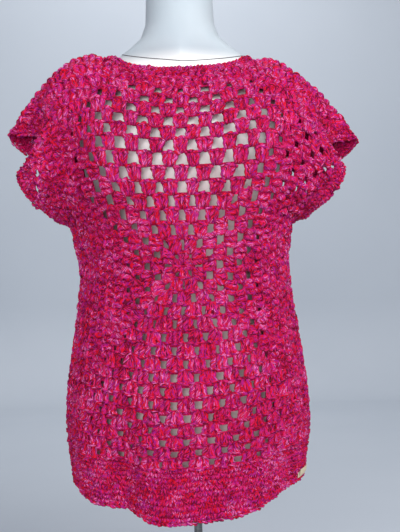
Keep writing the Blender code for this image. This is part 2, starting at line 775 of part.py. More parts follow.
def make_material(finish):
    """A plain material for one finish."""
    material = bpy.data.materials.new(finish.name)
    material.use_nodes = True
    shader = material.node_tree.nodes["Principled BSDF"]
    shader.inputs["Base Color"].default_value = (*finish.colour, 1.0)
    shader.inputs["Roughness"].default_value = finish.roughness
    shader.inputs["Metallic"].default_value = finish.metallic
    return material


for old in list(bpy.data.objects):
    bpy.data.objects.remove(old, do_unlink=True)
collection = bpy.data.collections.new("crochet_sweater_on_form")
cutters = bpy.data.collections.new("cutters")
bpy.context.scene.collection.children.link(collection)
bpy.context.scene.collection.children.link(cutters)
materials = {f.name: make_material(f) for f in (YARN, FORM, STEEL, RIBBON)}

# The sweater
add_object("front_panel", *panel(FRONT), YARN)
add_object("back_panel", *panel(BACK), YARN)
add_object("hem_band", *hem_band(), YARN)
add_object("neck_band", *edging(neck_places(), NECK_EDGING, 1.0), YARN)
add_object("sleeve_edge_right", *edging(sleeve_places(1), SLEEVE_EDGING, -1.0), YARN)
add_object("sleeve_edge_left", *edging(sleeve_places(-1), SLEEVE_EDGING, 1.0), YARN)
add_object("side_label", *label(), RIBBON)

# The form and its stand
bore_torso(add_object("form_torso", *torso(), FORM))
pole()
base_plate()
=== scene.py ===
"""Looks of a crocheted short-sleeve sweater on a limbless dress form with a pole and a base.

The sweater is two granny squares of sixteen rounds. Each square is a thin cloth with its gaps
cut out, and over it lie the clusters of three tall stitches. Short stitches make the hem band,
the neck edging, the sleeve edgings and the seams. Places on a square's chart are counted in
rounds from its centre, across and up, and everything else is in metres.
"""

import logging
import math
from collections.abc import Callable, Iterator, Sequence
from contextlib import contextmanager
from dataclasses import dataclass, field
from enum import Enum
from functools import partial
from typing import NamedTuple

import bmesh
import bpy
import numpy as np
from mathutils import Matrix, Vector
from mathutils.geometry import delaunay_2d_cdt

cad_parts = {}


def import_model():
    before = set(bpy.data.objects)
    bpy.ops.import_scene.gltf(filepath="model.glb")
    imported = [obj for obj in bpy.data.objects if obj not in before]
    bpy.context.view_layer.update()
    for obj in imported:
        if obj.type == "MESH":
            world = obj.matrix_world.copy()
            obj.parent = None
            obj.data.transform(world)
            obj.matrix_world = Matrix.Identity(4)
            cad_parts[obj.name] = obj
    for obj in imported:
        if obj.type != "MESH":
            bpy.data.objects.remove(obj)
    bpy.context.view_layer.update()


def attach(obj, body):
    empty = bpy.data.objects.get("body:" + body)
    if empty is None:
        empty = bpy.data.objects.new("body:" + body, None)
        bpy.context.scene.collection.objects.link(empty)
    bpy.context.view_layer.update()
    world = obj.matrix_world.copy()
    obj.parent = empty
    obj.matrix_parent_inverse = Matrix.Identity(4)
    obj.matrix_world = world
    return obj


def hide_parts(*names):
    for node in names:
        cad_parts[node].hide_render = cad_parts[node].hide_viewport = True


log = logging.getLogger("sweater")
Piece = bpy.types.Object
Socket = bpy.types.NodeSocket
Pair = tuple[float, float]
Triple = tuple[float, float, float]
Colour = Triple

ROUNDS = 16
ARMPIT = 3.0
NECK = 6.0
HEM = -18.85

# Body of the sweater: up, half width, front depth, back depth, front, side and back height
LEVELS = [
    (-18.85, 0.1870, 0.152, 0.143, 0.2030, 0.2460, 0.2140),
    (-16.0, 0.1920, 0.149, 0.142, 0.2735, 0.3000, 0.2790),
    (-14.0, 0.1915, 0.147, 0.141, 0.3045, 0.3320, 0.3105),
    (-12.0, 0.1900, 0.144, 0.138, 0.3360, 0.3640, 0.3430),
    (-8.0, 0.1820, 0.138, 0.126, 0.4118, 0.4343, 0.4200),
    (-4.0, 0.1710, 0.133, 0.112, 0.4889, 0.5055, 0.4970),
    (0.0, 0.1660, 0.133, 0.108, 0.5660, 0.5766, 0.5750),
    (3.0, 0.1740, 0.138, 0.115, 0.6310, 0.6300, 0.6400),
    (16.0, 0.1740, 0.138, 0.115, 0.8975, 0.8965, 0.9065),
]

# Guide lines over the chest and shoulders, by share across: up, out, depth and height
CHEST_UP = (6.0, 9.0, 11.0, 13.0, 14.5, 16.0)
SLEEVE_UP = (4.5, 6.0, 7.5, 9.0, 10.5, 12.0, 13.3, 14.6, 16.0)
FRONT_GUIDES = {
    0.0: (
        CHEST_UP,
        (0.0, 0.0, 0.0, 0.0, 0.0, 0.0),
        (-0.141, -0.136, -0.116, -0.094, -0.0775, -0.061),
        (0.6925, 0.7545, 0.793, 0.828, 0.8515, 0.87),
    ),
    0.19: (
        CHEST_UP,
        (0.056, 0.0585, 0.0585, 0.0585, 0.058, 0.061),
        (-0.1375, -0.1315, -0.1105, -0.086, -0.0685, -0.0535),
        (0.6935, 0.759, 0.7985, 0.835, 0.8595, 0.875),
    ),
    0.3: (
        CHEST_UP,
        (0.088, 0.093, 0.093, 0.0935, 0.0975, 0.103),
        (-0.129, -0.1235, -0.1025, -0.0745, -0.052, -0.037),
        (0.6955, 0.765, 0.8055, 0.8445, 0.865, 0.883),
    ),
    0.375: (
        CHEST_UP,
        (0.109, 0.115, 0.114, 0.112, 0.119, 0.123),
        (-0.1245, -0.118, -0.097, -0.066, -0.037, 0.0),
        (0.697, 0.768, 0.809, 0.848, 0.874, 0.902),
    ),
    0.656: (
        CHEST_UP,
        (0.168, 0.18, 0.186, 0.192, 0.196, 0.198),
        (-0.085, -0.078, -0.066, -0.047, -0.027, 0.004),
        (0.69, 0.758, 0.798, 0.835, 0.861, 0.877),
    ),
    1.0: (
        SLEEVE_UP,
        (0.19, 0.209, 0.227, 0.24, 0.245, 0.234, 0.222, 0.236, 0.272),
        (-0.024, -0.04, -0.046, -0.056, -0.055, -0.04, -0.022, -0.008, 0.004),
        (0.644, 0.662, 0.681, 0.706, 0.729, 0.752, 0.775, 0.796, 0.797),
    ),
}
BACK_GUIDES = {
    0.0: (
        CHEST_UP,
        (0.0, 0.0, 0.0, 0.0, 0.0, 0.0),
        (0.118, 0.113, 0.102, 0.088, 0.077, 0.068),
        (0.703, 0.766, 0.806, 0.843, 0.868, 0.89),
    ),
    0.19: (
        CHEST_UP,
        (0.056, 0.0585, 0.0585, 0.0585, 0.058, 0.06),
        (0.115, 0.109, 0.0975, 0.081, 0.067, 0.056),
        (0.7045, 0.772, 0.813, 0.85, 0.874, 0.894),
    ),
    0.3: (
        CHEST_UP,
        (0.088, 0.093, 0.093, 0.0935, 0.0975, 0.103),
        (0.108, 0.101, 0.0885, 0.067, 0.046, 0.032),
        (0.7075, 0.782, 0.8245, 0.861, 0.882, 0.897),
    ),
    0.375: (
        CHEST_UP,
        (0.109, 0.115, 0.114, 0.112, 0.119, 0.123),
        (0.104, 0.096, 0.082, 0.058, 0.033, 0.0),
        (0.709, 0.786, 0.829, 0.866, 0.886, 0.902),
    ),
    0.656: (
        CHEST_UP,
        (0.169, 0.181, 0.187, 0.193, 0.197, 0.198),
        (0.076, 0.074, 0.066, 0.052, 0.032, 0.004),
        (0.692, 0.757, 0.8, 0.838, 0.865, 0.877),
    ),
    1.0: (
        SLEEVE_UP,
        (0.19, 0.204, 0.216, 0.225, 0.228, 0.228, 0.245, 0.264, 0.272),
        (0.024, 0.04, 0.046, 0.056, 0.055, 0.045, 0.035, 0.02, 0.004),
        (0.644, 0.662, 0.683, 0.706, 0.729, 0.757, 0.768, 0.782, 0.797),
    ),
}

# How far the gaps stand open: places across, then rows of up and the shares there
SLACK_ACROSS = (-14.5, -12.0, -9.0, -6.0, -3.0, 0.0, 3.0, 6.0, 9.0, 12.0, 14.5)
SLACK = [
    (-16.0, (0.0, 0.0, 0.3, 0.5, 0.6, 0.65, 0.65, 0.5, 0.3, 0.0, 0.0)),
    (-12.0, (0.0, 0.0, 0.4, 0.65, 0.75, 0.8, 0.8, 0.7, 0.42, 0.2, 0.0)),
    (-8.0, (0.0, 0.0, 0.3, 0.6, 0.75, 0.8, 0.75, 0.7, 0.3, 0.0, 0.0)),
    (-4.0, (0.0, -0.6, -0.2, 0.3, 0.75, 0.9, 0.9, 0.85, -0.1, 0.0, 0.0)),
    (0.0, (0.0, -0.6, -0.2, 0.3, 0.8, 0.95, 0.95, 0.88, -0.1, 0.0, 0.0)),
    (3.0, (0.0, 0.0, 0.2, 0.75, 0.95, 1.0, 1.0, 0.9, 0.1, 0.0, 0.0)),
    (5.0, (0.3, -0.8, 0.65, 1.15, 1.2, 1.25, 1.2, 1.05, 0.5, 0.45, 0.9)),
    (8.0, (0.7, -1.0, 0.8, 1.3, 1.4, 1.4, 1.4, 1.25, 0.55, 0.65, 1.1)),
    (10.5, (0.5, -0.8, 0.6, 1.1, 1.2, 1.2, 1.2, 1.05, 0.4, 0.5, 0.9)),
    (12.5, (0.0, 0.0, 0.2, 0.75, 0.85, 0.85, 0.85, 0.75, 0.2, 0.0, 0.0)),
    (14.0, (0.0, 0.0, 0.0, 0.45, 0.6, 0.6, 0.6, 0.45, 0.0, 0.0, 0.0)),
    (15.0, (0.0, 0.0, 0.0, 0.0, 0.0, 0.0, 0.0, 0.0, 0.0, 0.0, 0.0)),
]

# Dress form: height, half width, front depth, back depth, roundness
TORSO = [
    (0.2500, 0.1590, 0.1040, 0.1120, 2.0),
    (0.2540, 0.1640, 0.1090, 0.1170, 2.0),
    (0.2700, 0.1690, 0.1130, 0.1210, 2.0),
    (0.3100, 0.1730, 0.1170, 0.1240, 2.0),
    (0.3600, 0.1700, 0.1180, 0.1220, 2.0),
    (0.4300, 0.1500, 0.1100, 0.1050, 2.0),
    (0.5000, 0.1280, 0.1000, 0.0900, 2.0),
    (0.5450, 0.1220, 0.0960, 0.0860, 2.0),
    (0.6000, 0.1300, 0.1040, 0.0920, 2.0),
    (0.6600, 0.1460, 0.1200, 0.0980, 2.0),
    (0.7000, 0.1530, 0.1260, 0.1010, 2.0),
    (0.7400, 0.1600, 0.1220, 0.1020, 2.0),
    (0.7800, 0.1680, 0.1060, 0.0990, 2.0),
    (0.8200, 0.1750, 0.0840, 0.0880, 1.9),
    (0.8450, 0.1780, 0.0660, 0.0740, 1.75),
    (0.8650, 0.1690, 0.0500, 0.0610, 1.45),
    (0.8800, 0.1500, 0.0460, 0.0560, 1.2),
    (0.8890, 0.1310, 0.0455, 0.0540, 1.1),
    (0.8970, 0.1150, 0.0460, 0.0530, 1.1),
    (0.9045, 0.1040, 0.0465, 0.0520, 1.2),
    (0.9130, 0.0960, 0.0475, 0.0515, 1.4),
    (0.9230, 0.0815, 0.0485, 0.0515, 1.7),
    (0.9370, 0.0640, 0.0500, 0.0520, 2.0),
    (0.9600, 0.0555, 0.0520, 0.0530, 2.0),
    (1.0100, 0.0536, 0.0530, 0.0530, 2.0),
    (1.0220, 0.0500, 0.0490, 0.0490, 2.0),
    (1.0280, 0.0380, 0.0370, 0.0370, 2.0),
]


class Side(Enum):
    """The two squares of the sweater, by the sign of their depth."""

    FRONT = -1.0
    BACK = 1.0


# Folds that hang to the hem: sides, middle, reach, outward, down, top
FRONT, BACK, BOTH = (Side.FRONT,), (Side.BACK,), (Side.FRONT, Side.BACK)
FOLDS = [
    (FRONT, -1.8, 3.0, 0.0070, 0.0025, -6.0),
    (FRONT, -5.4, 2.4, -0.0120, -0.0040, -7.0),
    (FRONT, 1.6, 2.2, -0.0030, 0.0000, -6.0),
    (FRONT, 5.2, 3.0, 0.0040, 0.0010, -5.0),
    (FRONT, -9.2, 2.6, 0.0050, 0.0010, -4.0),
    (FRONT, 9.6, 2.4, -0.0040, 0.0000, -6.0),
    (FRONT, 9.0, 6.5, 0.0000, -0.0060, -13.0),
    (BOTH, 16.0, 6.0, -0.0030, -0.0110, -13.0),
    (BOTH, -16.0, 6.0, -0.0030, -0.0020, -13.0),
    (BACK, -6.0, 3.4, 0.0070, 0.0020, -5.0),
    (BACK, 0.0, 3.0, -0.0060, -0.0020, -6.0),
    (BACK, 6.4, 3.4, 0.0080, 0.0030, -4.0),
]

# Uneven places: sides, across, up, reach across, reach up, out, depth, height
PUSHES = [
    (BOTH, -9.0, 16.0, 6.5, 6.0, 0.0050, 0.0, 0.0145),
    (BOTH, 11.5, 16.0, 5.0, 6.0, -0.0030, 0.0, -0.0050),
    (BOTH, -16.0, 16.0, 4.5, 4.5, 0.0010, 0.0, 0.0070),
    (BOTH, 16.0, 16.0, 4.5, 4.5, 0.0050, 0.0, -0.0140),
    (BOTH, -16.0, 3.0, 6.0, 5.0, 0.0050, 0.0, 0.0),
    (BOTH, 16.0, 3.0, 6.0, 5.0, -0.0030, 0.0, 0.0),
    (FRONT, 16.0, 8.5, 5.0, 4.5, -0.0060, 0.0, -0.0030),
    (FRONT, 16.0, 13.5, 4.0, 2.5, 0.0000, 0.0, -0.0080),
    (BACK, 16.0, 12.5, 4.0, 3.0, 0.0020, 0.0, -0.0120),
]


def read_table(
    knots: Sequence[float], values: np.ndarray, places: np.ndarray, flat_start: bool = False
) -> np.ndarray:
    """Reads a smooth curve through a table.

    Args:
        knots: The table's places, rising, (k,).
        values: The table's rows, (k, m), or (k, n, m) with a curve for each place.
        places: Where to read, (n,).
        flat_start: Whether the curve leaves its first knot level.

    Returns:
        The values read, (n, m).
    """
    knots = np.asarray(knots, float)
    values = np.asarray(values, float)
    step = np.diff(knots)
    wide = step.reshape((-1,) + (1,) * (values.ndim - 1))
    rise = np.diff(values, axis=0) / wide
    slope = np.empty_like(values)
    slope[0] = 0.0 if flat_start else rise[0]
    slope[-1] = rise[-1]
    slope[1:-1] = (rise[:-1] * wide[1:] + rise[1:] * wide[:-1]) / (wide[1:] + wide[:-1])
    span = np.clip(np.searchsorted(knots, places, "right") - 1, 0, len(step) - 1)
    part = ((places - knots[span]) / step[span])[:, None]
    length = step[span][:, None]
    each = (np.arange(len(places)),) if values.ndim == 3 else ()
    start, end = values[(span, *each)], values[(span + 1, *each)]
    leave, arrive = slope[(span, *each)], slope[(span + 1, *each)]
    return (
        (2 * part**3 - 3 * part**2 + 1) * start
        + (part**3 - 2 * part**2 + part) * length * leave
        + (3 * part**2 - 2 * part**3) * end
        + (part**3 - part**2) * length * arrive
    )


def ease(share: np.ndarray) -> np.ndarray:
    """Goes from 0 to 1 with level ends."""
    share = np.clip(share, 0.0, 1.0)
    return share * share * (3 - 2 * share)


def hump(places: np.ndarray, middle: float, reach: float) -> np.ndarray:
    """A smooth rise to 1 at the middle, and 0 past its reach.

    Args:
        places: Where to read, (n,).
        middle: Where it is highest.
        reach: How far it goes to each side.

    Returns:
        Its height at each place, (n,).
    """
    return 0.5 * (1 + np.cos(math.pi * np.clip((places - middle) / reach, -1.0, 1.0)))


def unit(vectors: np.ndarray) -> np.ndarray:
    """Vectors of length one."""
    return vectors / np.maximum(np.linalg.norm(vectors, axis=-1, keepdims=True), 1e-12)


def quads(rows: int, columns: int, closed: bool) -> list[tuple[int, ...]]:
    """Faces between the points of a grid.

    Args:
        rows: How many rows of points it has.
        columns: How many points each row has.
        closed: Whether the last row goes on to the first.

    Returns:
        Four corners of each face.
    """
    faces = []
    for i in range(rows if closed else rows - 1):
        for j in range(columns - 1):
            here, ahead = i * columns + j, (i + 1) % rows * columns + j
            faces.append((here, here + 1, ahead + 1, ahead))
    return faces


@dataclass
class Drape:
    """The shape that the two squares hang in on the form."""

    armpit: float = ARMPIT
    seam_from: float = 13.0

    def tube(self, side: Side, share: np.ndarray, up: np.ndarray) -> np.ndarray:
        """Points of the body tube, carried straight on above the armpit.

        Args:
            side: Which square.
            share: Way across, 0 at the middle and 1 at the side seam, (n,).
            up: Rounds above the centre, (n,).

        Returns:
            Points, (n, 3).
        """
        table = np.array(LEVELS)
        half_width, front, back, front_z, side_z, back_z = read_table(
            table[:, 0], table[:, 1:], up
        ).T
        depth, height = (front, front_z) if side is Side.FRONT else (back, back_z)
        turn = 0.5 * math.pi * share
        rise = height + (side_z - height) * np.sin(turn) ** 2
        return np.stack(
            [half_width * np.sin(turn), side.value * depth * np.cos(turn), rise], axis=1
        )

    def unfolded(self, side: Side, share: np.ndarray, up: np.ndarray) -> np.ndarray:
        """Points of the cloth before its hanging folds.

        Args:
            side: Which square.
            share: Way across, from 0 to 1, (n,).
            up: Rounds above the centre, (n,).

        Returns:
            Points, (n, 3).
        """
        guides = FRONT_GUIDES if side is Side.FRONT else BACK_GUIDES
        stations, curves = [], []
        for station, rows in guides.items():
            line = np.array(rows).T
            shift = line[:, 1:] - self.tube(side, np.full(len(line), station), line[:, 0])
            knots = np.concatenate([[self.armpit], line[:, 0]])
            shift = np.concatenate([np.zeros((1, 3)), shift])
            stations.append(station)
            curves.append(read_table(knots, shift, np.clip(up, self.armpit, ROUNDS), True))
        mirrored = curves[1] * (-1.0, 1.0, 1.0)
        knots = [-stations[1]] + stations
        shift = read_table(knots, np.array([mirrored] + curves), share)
        return self.tube(side, share, up) + np.where(up[:, None] > self.armpit, shift, 0.0)

    def points(self, side: Side, across: np.ndarray, up: np.ndarray) -> np.ndarray:
        """Outer face of the cloth.

        Args:
            side: Which square.
            across: Rounds across from the centre, (n,).
            up: Rounds above the centre, (n,).

        Returns:
            Points, (n, 3).
        """
        share = np.abs(across) / ROUNDS
        points = self.unfolded(side, share, up)
        top = np.full(len(up), float(ROUNDS))
        own = self.unfolded(side, share, top)
        seam = 0.5 * (self.unfolded(Side.FRONT, share, top) + self.unfolded(Side.BACK, share, top))
        near = ease((up - self.seam_from) / (ROUNDS - self.seam_from))
        points = points + (seam - own) * (near * (share >= NECK / ROUNDS))[:, None]
        points[:, 0] *= np.where(across < 0, -1.0, 1.0)
        turn = 0.5 * math.pi * across / ROUNDS
        for sides, middle, reach, outward, down, end in FOLDS:
            if side in sides:
                much = hump(across, middle, reach) * ease((end - up) / (end - HEM))
                points[:, 0] += outward * much * np.sin(turn)
                points[:, 1] += outward * much * np.cos(turn) * side.value
                points[:, 2] -= down * much
        for sides, middle, level, reach, reach_up, out, depth, height in PUSHES:
            if side in sides:
                much = hump(across, middle, reach) * hump(up, level, reach_up)
                points += much[:, None] * (out * math.copysign(1.0, middle), depth, height)
        return points


@dataclass
class Patch:
    """A smooth stretch of cloth, kept as a grid and read at any place on it.

    The first number of a place runs along the grid's rows and the second along its columns.
    """

    low: Pair
    step: Pair
    places: np.ndarray
    normals: np.ndarray

    def read(self, spots: np.ndarray) -> tuple[np.ndarray, np.ndarray]:
        """Points and outward normals at places on the patch.

        Args:
            spots: Places, (n, 2).

        Returns:
            Points and unit normals, (n, 3) each.
        """
        rows, columns = self.places.shape[:2]
        first = np.clip((spots[:, 0] - self.low[0]) / self.step[0], 0, rows - 1.0001)
        second = np.clip((spots[:, 1] - self.low[1]) / self.step[1], 0, columns - 1.0001)
        i, j = first.astype(int), second.astype(int)
        u, v = (first - i)[:, None], (second - j)[:, None]
        answer = []
        for grid in (self.places, self.normals):
            near = grid[i, j] * (1 - u) + grid[i + 1, j] * u
            far = grid[i, j + 1] * (1 - u) + grid[i + 1, j + 1] * u
            answer.append(near * (1 - v) + far * v)
        return answer[0], unit(answer[1])


@dataclass
class Garment:
    """Every stretch of cloth that the stitches are laid on."""

    drape: Drape = field(default_factory=Drape)
    spacing: float = 0.125
    lowest: float = -19.0
    neck_width: float = 0.012
    sleeve_width: float = 0.014
    ring_step: float = 0.25
    tucked: float = 0.25
    columns: int = 6

    def __post_init__(self) -> None:
        """Reads both squares once, on a fine grid."""
        self.squares = self.read_squares()

    def read_squares(self) -> dict[Side, Patch]:
        """The two squares, with one shared normal where they are joined.

        Returns:
            A patch for each side, whose places are across and up.
        """
        across = np.arange(-ROUNDS, ROUNDS + 1e-6, self.spacing)
        up = np.arange(self.lowest, ROUNDS + 1e-6, self.spacing)
        a, b = np.meshgrid(across, up, indexing="ij")
        grids, normals = {}, {}
        for side in Side:
            grid = self.drape.points(side, a.ravel(), b.ravel()).reshape(*a.shape, 3)
            along, rise = np.gradient(grid, axis=0), np.gradient(grid, axis=1)
            grids[side] = grid
            normals[side] = unit(np.cross(along, rise) * -side.value)
        shared = unit(normals[Side.FRONT] + normals[Side.BACK])
        joined = (np.abs(a) > ROUNDS - 0.01) & (b <= ARMPIT + 1e-6)
        joined |= (b > ROUNDS - 0.01) & (np.abs(a) >= NECK - 1e-6)
        low, step = (-ROUNDS, self.lowest), (self.spacing, self.spacing)
        return {
            side: Patch(low, step, grids[side], np.where(joined[..., None], shared, normals[side]))
            for side in Side
        }

    def edging(self, ring: list[tuple[Side, float, float]], width: float, sign: float) -> Patch:
        """A narrow stretch that goes on from an open edge.

        Args:
            ring: Side, across and up of each place round the opening, in order.
            width: How wide the edging is.
            sign: Which way round the ring goes, 1 or -1.

        Returns:
            A patch whose places are the place round the ring and the distance out.
        """
        base, normals = np.empty((len(ring), 3)), np.empty((len(ring), 3))
        for k, (side, a, b) in enumerate(ring):
            point, normal = self.squares[side].read(np.array([[a, b]]))
            base[k], normals[k] = point[0], normal[0]
        for _ in range(3):
            normals = unit(np.roll(normals, 1, 0) + 2 * normals + np.roll(normals, -1, 0))
        away = unit(np.cross(normals, np.roll(base, -1, 0) - np.roll(base, 1, 0)) * sign)
        base, normals, away = (np.concatenate([x, x[:1]]) for x in (base, normals, away))
        outward = np.linspace(-self.tucked * width, width, self.columns)
        places = base[:, None] + away[:, None] * outward[None, :, None]
        step = (1.0, float(outward[1] - outward[0]))
        normals = np.repeat(normals[:, None], self.columns, 1)
        return Patch((0.0, float(outward[0])), step, places, normals)

    def neck(self) -> Patch:
        """The edging round the neck.

        Returns:
            Its patch, whose places are round the ring and out.
        """
        steps = np.arange(-NECK, NECK + 0.1, self.ring_step)
        ring = [(Side.FRONT, a, ROUNDS) for a in steps]
        ring += [(Side.BACK, a, ROUNDS) for a in reversed(steps[1:-1])]
        return self.edging(ring, self.neck_width, 1.0)

    def sleeve(self, hand: int) -> Patch:
        """The edging round one sleeve.

        Args:
            hand: Which sleeve, 1 for +X and -1 for -X.

        Returns:
            Its patch, whose places are round the ring and out.
        """
        steps = np.arange(ARMPIT, ROUNDS + 0.1, self.ring_step)
        ring = [(Side.FRONT, hand * ROUNDS, b) for b in steps]
        ring += [(Side.BACK, hand * ROUNDS, b) for b in reversed(steps[1:-1])]
        return self.edging(ring, self.sleeve_width, -float(hand))


class Bench:
    """Short ways to work on one mesh with Blender's own tools."""

    @staticmethod
    def take(*objects: Piece) -> None:
        """Selects these objects alone.

        Args:
            *objects: The objects; the first is the active one.
        """
        bpy.ops.object.select_all(action="DESELECT")
        for obj in objects:
            obj.select_set(True)
        bpy.context.view_layer.objects.active = objects[0]

    @staticmethod
    def named(name: str) -> Piece:
        """Names the primitive that was just added, and applies its place and turn.

        Args:
            name: Its name.

        Returns:
            The primitive.
        """
        bpy.ops.object.transform_apply(location=True, rotation=True, scale=True)
        bpy.context.object.name = name
        return bpy.context.object

    @staticmethod
    @contextmanager
    def editing() -> Iterator[None]:
        """Opens the active mesh in edit mode, to pick its vertices, and leaves it at the end.

        Yields:
            Nothing, while the mesh is open.
        """
        bpy.ops.object.mode_set(mode="EDIT")
        bpy.ops.mesh.select_mode(type="VERT")
        yield
        bpy.ops.object.mode_set(mode="OBJECT")

    @staticmethod
    def pick(test: Callable[[Vector], bool]) -> None:
        """Selects the vertices of the mesh in edit mode whose place passes a test.

        Args:
            test: Takes a vertex's place and says whether it is picked.
        """
        mesh = bpy.context.edit_object.data
        shape = bmesh.from_edit_mesh(mesh)
        for vertex in shape.verts:
            vertex.select_set(test(vertex.co))
        shape.select_flush_mode()
        bmesh.update_edit_mesh(mesh)

    @staticmethod
    def modifier(obj: Piece, kind: str, **settings: object) -> None:
        """Gives an object a modifier and applies it, with the object's place.

        Args:
            obj: The object.
            kind: The modifier's type.
            **settings: Its own settings, by name.
        """
        Bench.take(obj)
        made = obj.modifiers.new(kind.lower(), kind)
        for name, value in settings.items():
            setattr(made, name, value)
        bpy.ops.object.modifier_apply(modifier=made.name)
        bpy.ops.object.transform_apply(location=True, rotation=True, scale=True)

    @staticmethod
    def piece(
        name: str,
        points: np.ndarray,
        faces: Sequence[Sequence[int]],
        uvs: dict[str, np.ndarray] | None = None,
    ) -> Piece:
        """A smooth mesh object from points and faces.

        Args:
            name: The piece's name.
            points: Places of the vertices, (n, 3).
            faces: Corners of each face.
            uvs: For each UV map its place at each face corner, (loops, 2).

        Returns:
            The new object.
        """
        mesh = bpy.data.meshes.new(name)
        mesh.from_pydata(points.tolist(), [], faces)
        for title, values in (uvs or {}).items():
            layer = mesh.uv_layers.new(name=title)
            layer.data.foreach_set("uv", np.asarray(values, np.float32).ravel())
        mesh.shade_smooth()
        obj = bpy.data.objects.new(name, mesh)
        bpy.context.scene.collection.objects.link(obj)
        return obj

    @staticmethod
    def places(mesh: bpy.types.Mesh) -> np.ndarray:
        """Reads the places of a mesh's vertices.

        Args:
            mesh: The mesh.

        Returns:
            The places, (n, 3).
        """
        places = np.empty(len(mesh.vertices) * 3)
        mesh.vertices.foreach_get("co", places)
        return places.reshape(-1, 3)

    @staticmethod
    def reshape(obj: Piece, places: np.ndarray) -> Piece:
        """Moves the vertices of an object and smooths it.

        Args:
            obj: The object.
            places: The new places of its vertices, (n, 3).

        Returns:
            The object.
        """
        obj.data.vertices.foreach_set("co", places.ravel())
        obj.data.shade_smooth()
        return obj

    @staticmethod
    def dress(piece: Piece, material: bpy.types.Material, node: str, slot: str) -> Piece:
        """Gives a piece its material, parents it to the root body and hides the CAD node that it
        replaces.

        Args:
            piece: The piece.
            material: Its material.
            node: The node that it replaces.
            slot: Not used.

        Returns:
            The piece.
        """
        piece.data.materials.clear()
        piece.data.materials.append(material)
        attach(piece, "root")
        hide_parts(node)
        return piece


@dataclass
class Template:
    """A stitch ready to be copied: its corners, faces, map and length."""

    corners: np.ndarray
    faces: list[tuple[int, ...]]
    spots: np.ndarray
    length: float


@dataclass
class StitchModel:
    """One stitch, modelled once at the origin: its base at y = 0 and its front towards +Z."""

    length: float
    strand: float
    lay: float

    def tube(self, radius: float, length: float, sides: int, parts: int, plies: int) -> Piece:
        """A closed strand along +Y from the origin, cut by rings and still straight.

        Its UV map counts the plies across and the millimetres along.

        Args:
            radius: Its radius.
            length: Its length.
            sides: How many sides it has.
            parts: How many even parts its rings make.
            plies: How many plies show round it.

        Returns:
            The strand.
        """
        bpy.ops.object.select_all(action="DESELECT")
        bpy.ops.mesh.primitive_cylinder_add(
            vertices=sides,
            radius=radius,
            depth=length,
            location=(0, 0.5 * length, 0),
            rotation=(-0.5 * math.pi, 0, 0),
            calc_uvs=False,
        )
        tube = Bench.named("strand")
        with Bench.editing():
            for k in range(1, parts):
                ring = (0, length * k / parts, 0)
                bpy.ops.mesh.select_all(action="SELECT")
                bpy.ops.mesh.bisect(plane_co=ring, plane_no=(0, 1, 0), threshold=1e-6)
        layer = tube.data.uv_layers.new(name="strand")
        for face in tube.data.polygons:
            middle = math.atan2(face.center.z, face.center.x) / math.tau
            for loop, k in zip(face.loop_indices, face.vertices):
                place = tube.data.vertices[k].co
                turn = math.atan2(place.z, place.x) / math.tau
                turn += round(middle - turn)
                along = 1000 * place.y
                layer.data[loop].uv = (plies * turn + self.lay * along, along)
        return tube

    @staticmethod
    def at(level: float) -> Triple:
        """Picks the ring of vertices at a level along +Y, and gives the ring's middle."""
        Bench.pick(lambda p: abs(p.y - level) < 1e-5)
        return (0.0, level, 0.0)

    @staticmethod
    def set_down(part: Piece, turn: float, place: Sequence[float]) -> Piece:
        """Turns a part and moves it to its place.

        Args:
            part: The part, modelled at the origin.
            turn: Its turn about +Z.
            place: Its place.

        Returns:
            The part.
        """
        part.rotation_euler, part.location = (0, 0, turn), place
        Bench.take(part)
        bpy.ops.object.transform_apply(location=True, rotation=True, scale=True)
        return part

    def parts(self) -> list[Piece]:
        """The stitch's parts; each kind of stitch has its own."""
        raise NotImplementedError

    def template(self) -> Template:
        """Joins the parts, reads them and clears the model.

        Returns:
            The stitch.
        """
        parts = self.parts()
        Bench.take(*parts)
        bpy.ops.object.join()
        mesh = parts[0].data
        spots = np.empty(len(mesh.loops) * 2)
        mesh.uv_layers["strand"].data.foreach_get("uv", spots)
        faces = [tuple(face.vertices) for face in mesh.polygons]
        template = Template(Bench.places(mesh), faces, spots.reshape(-1, 2), self.length)
        bpy.data.objects.remove(parts[0], do_unlink=True)
        bpy.data.meshes.remove(mesh)
        return template


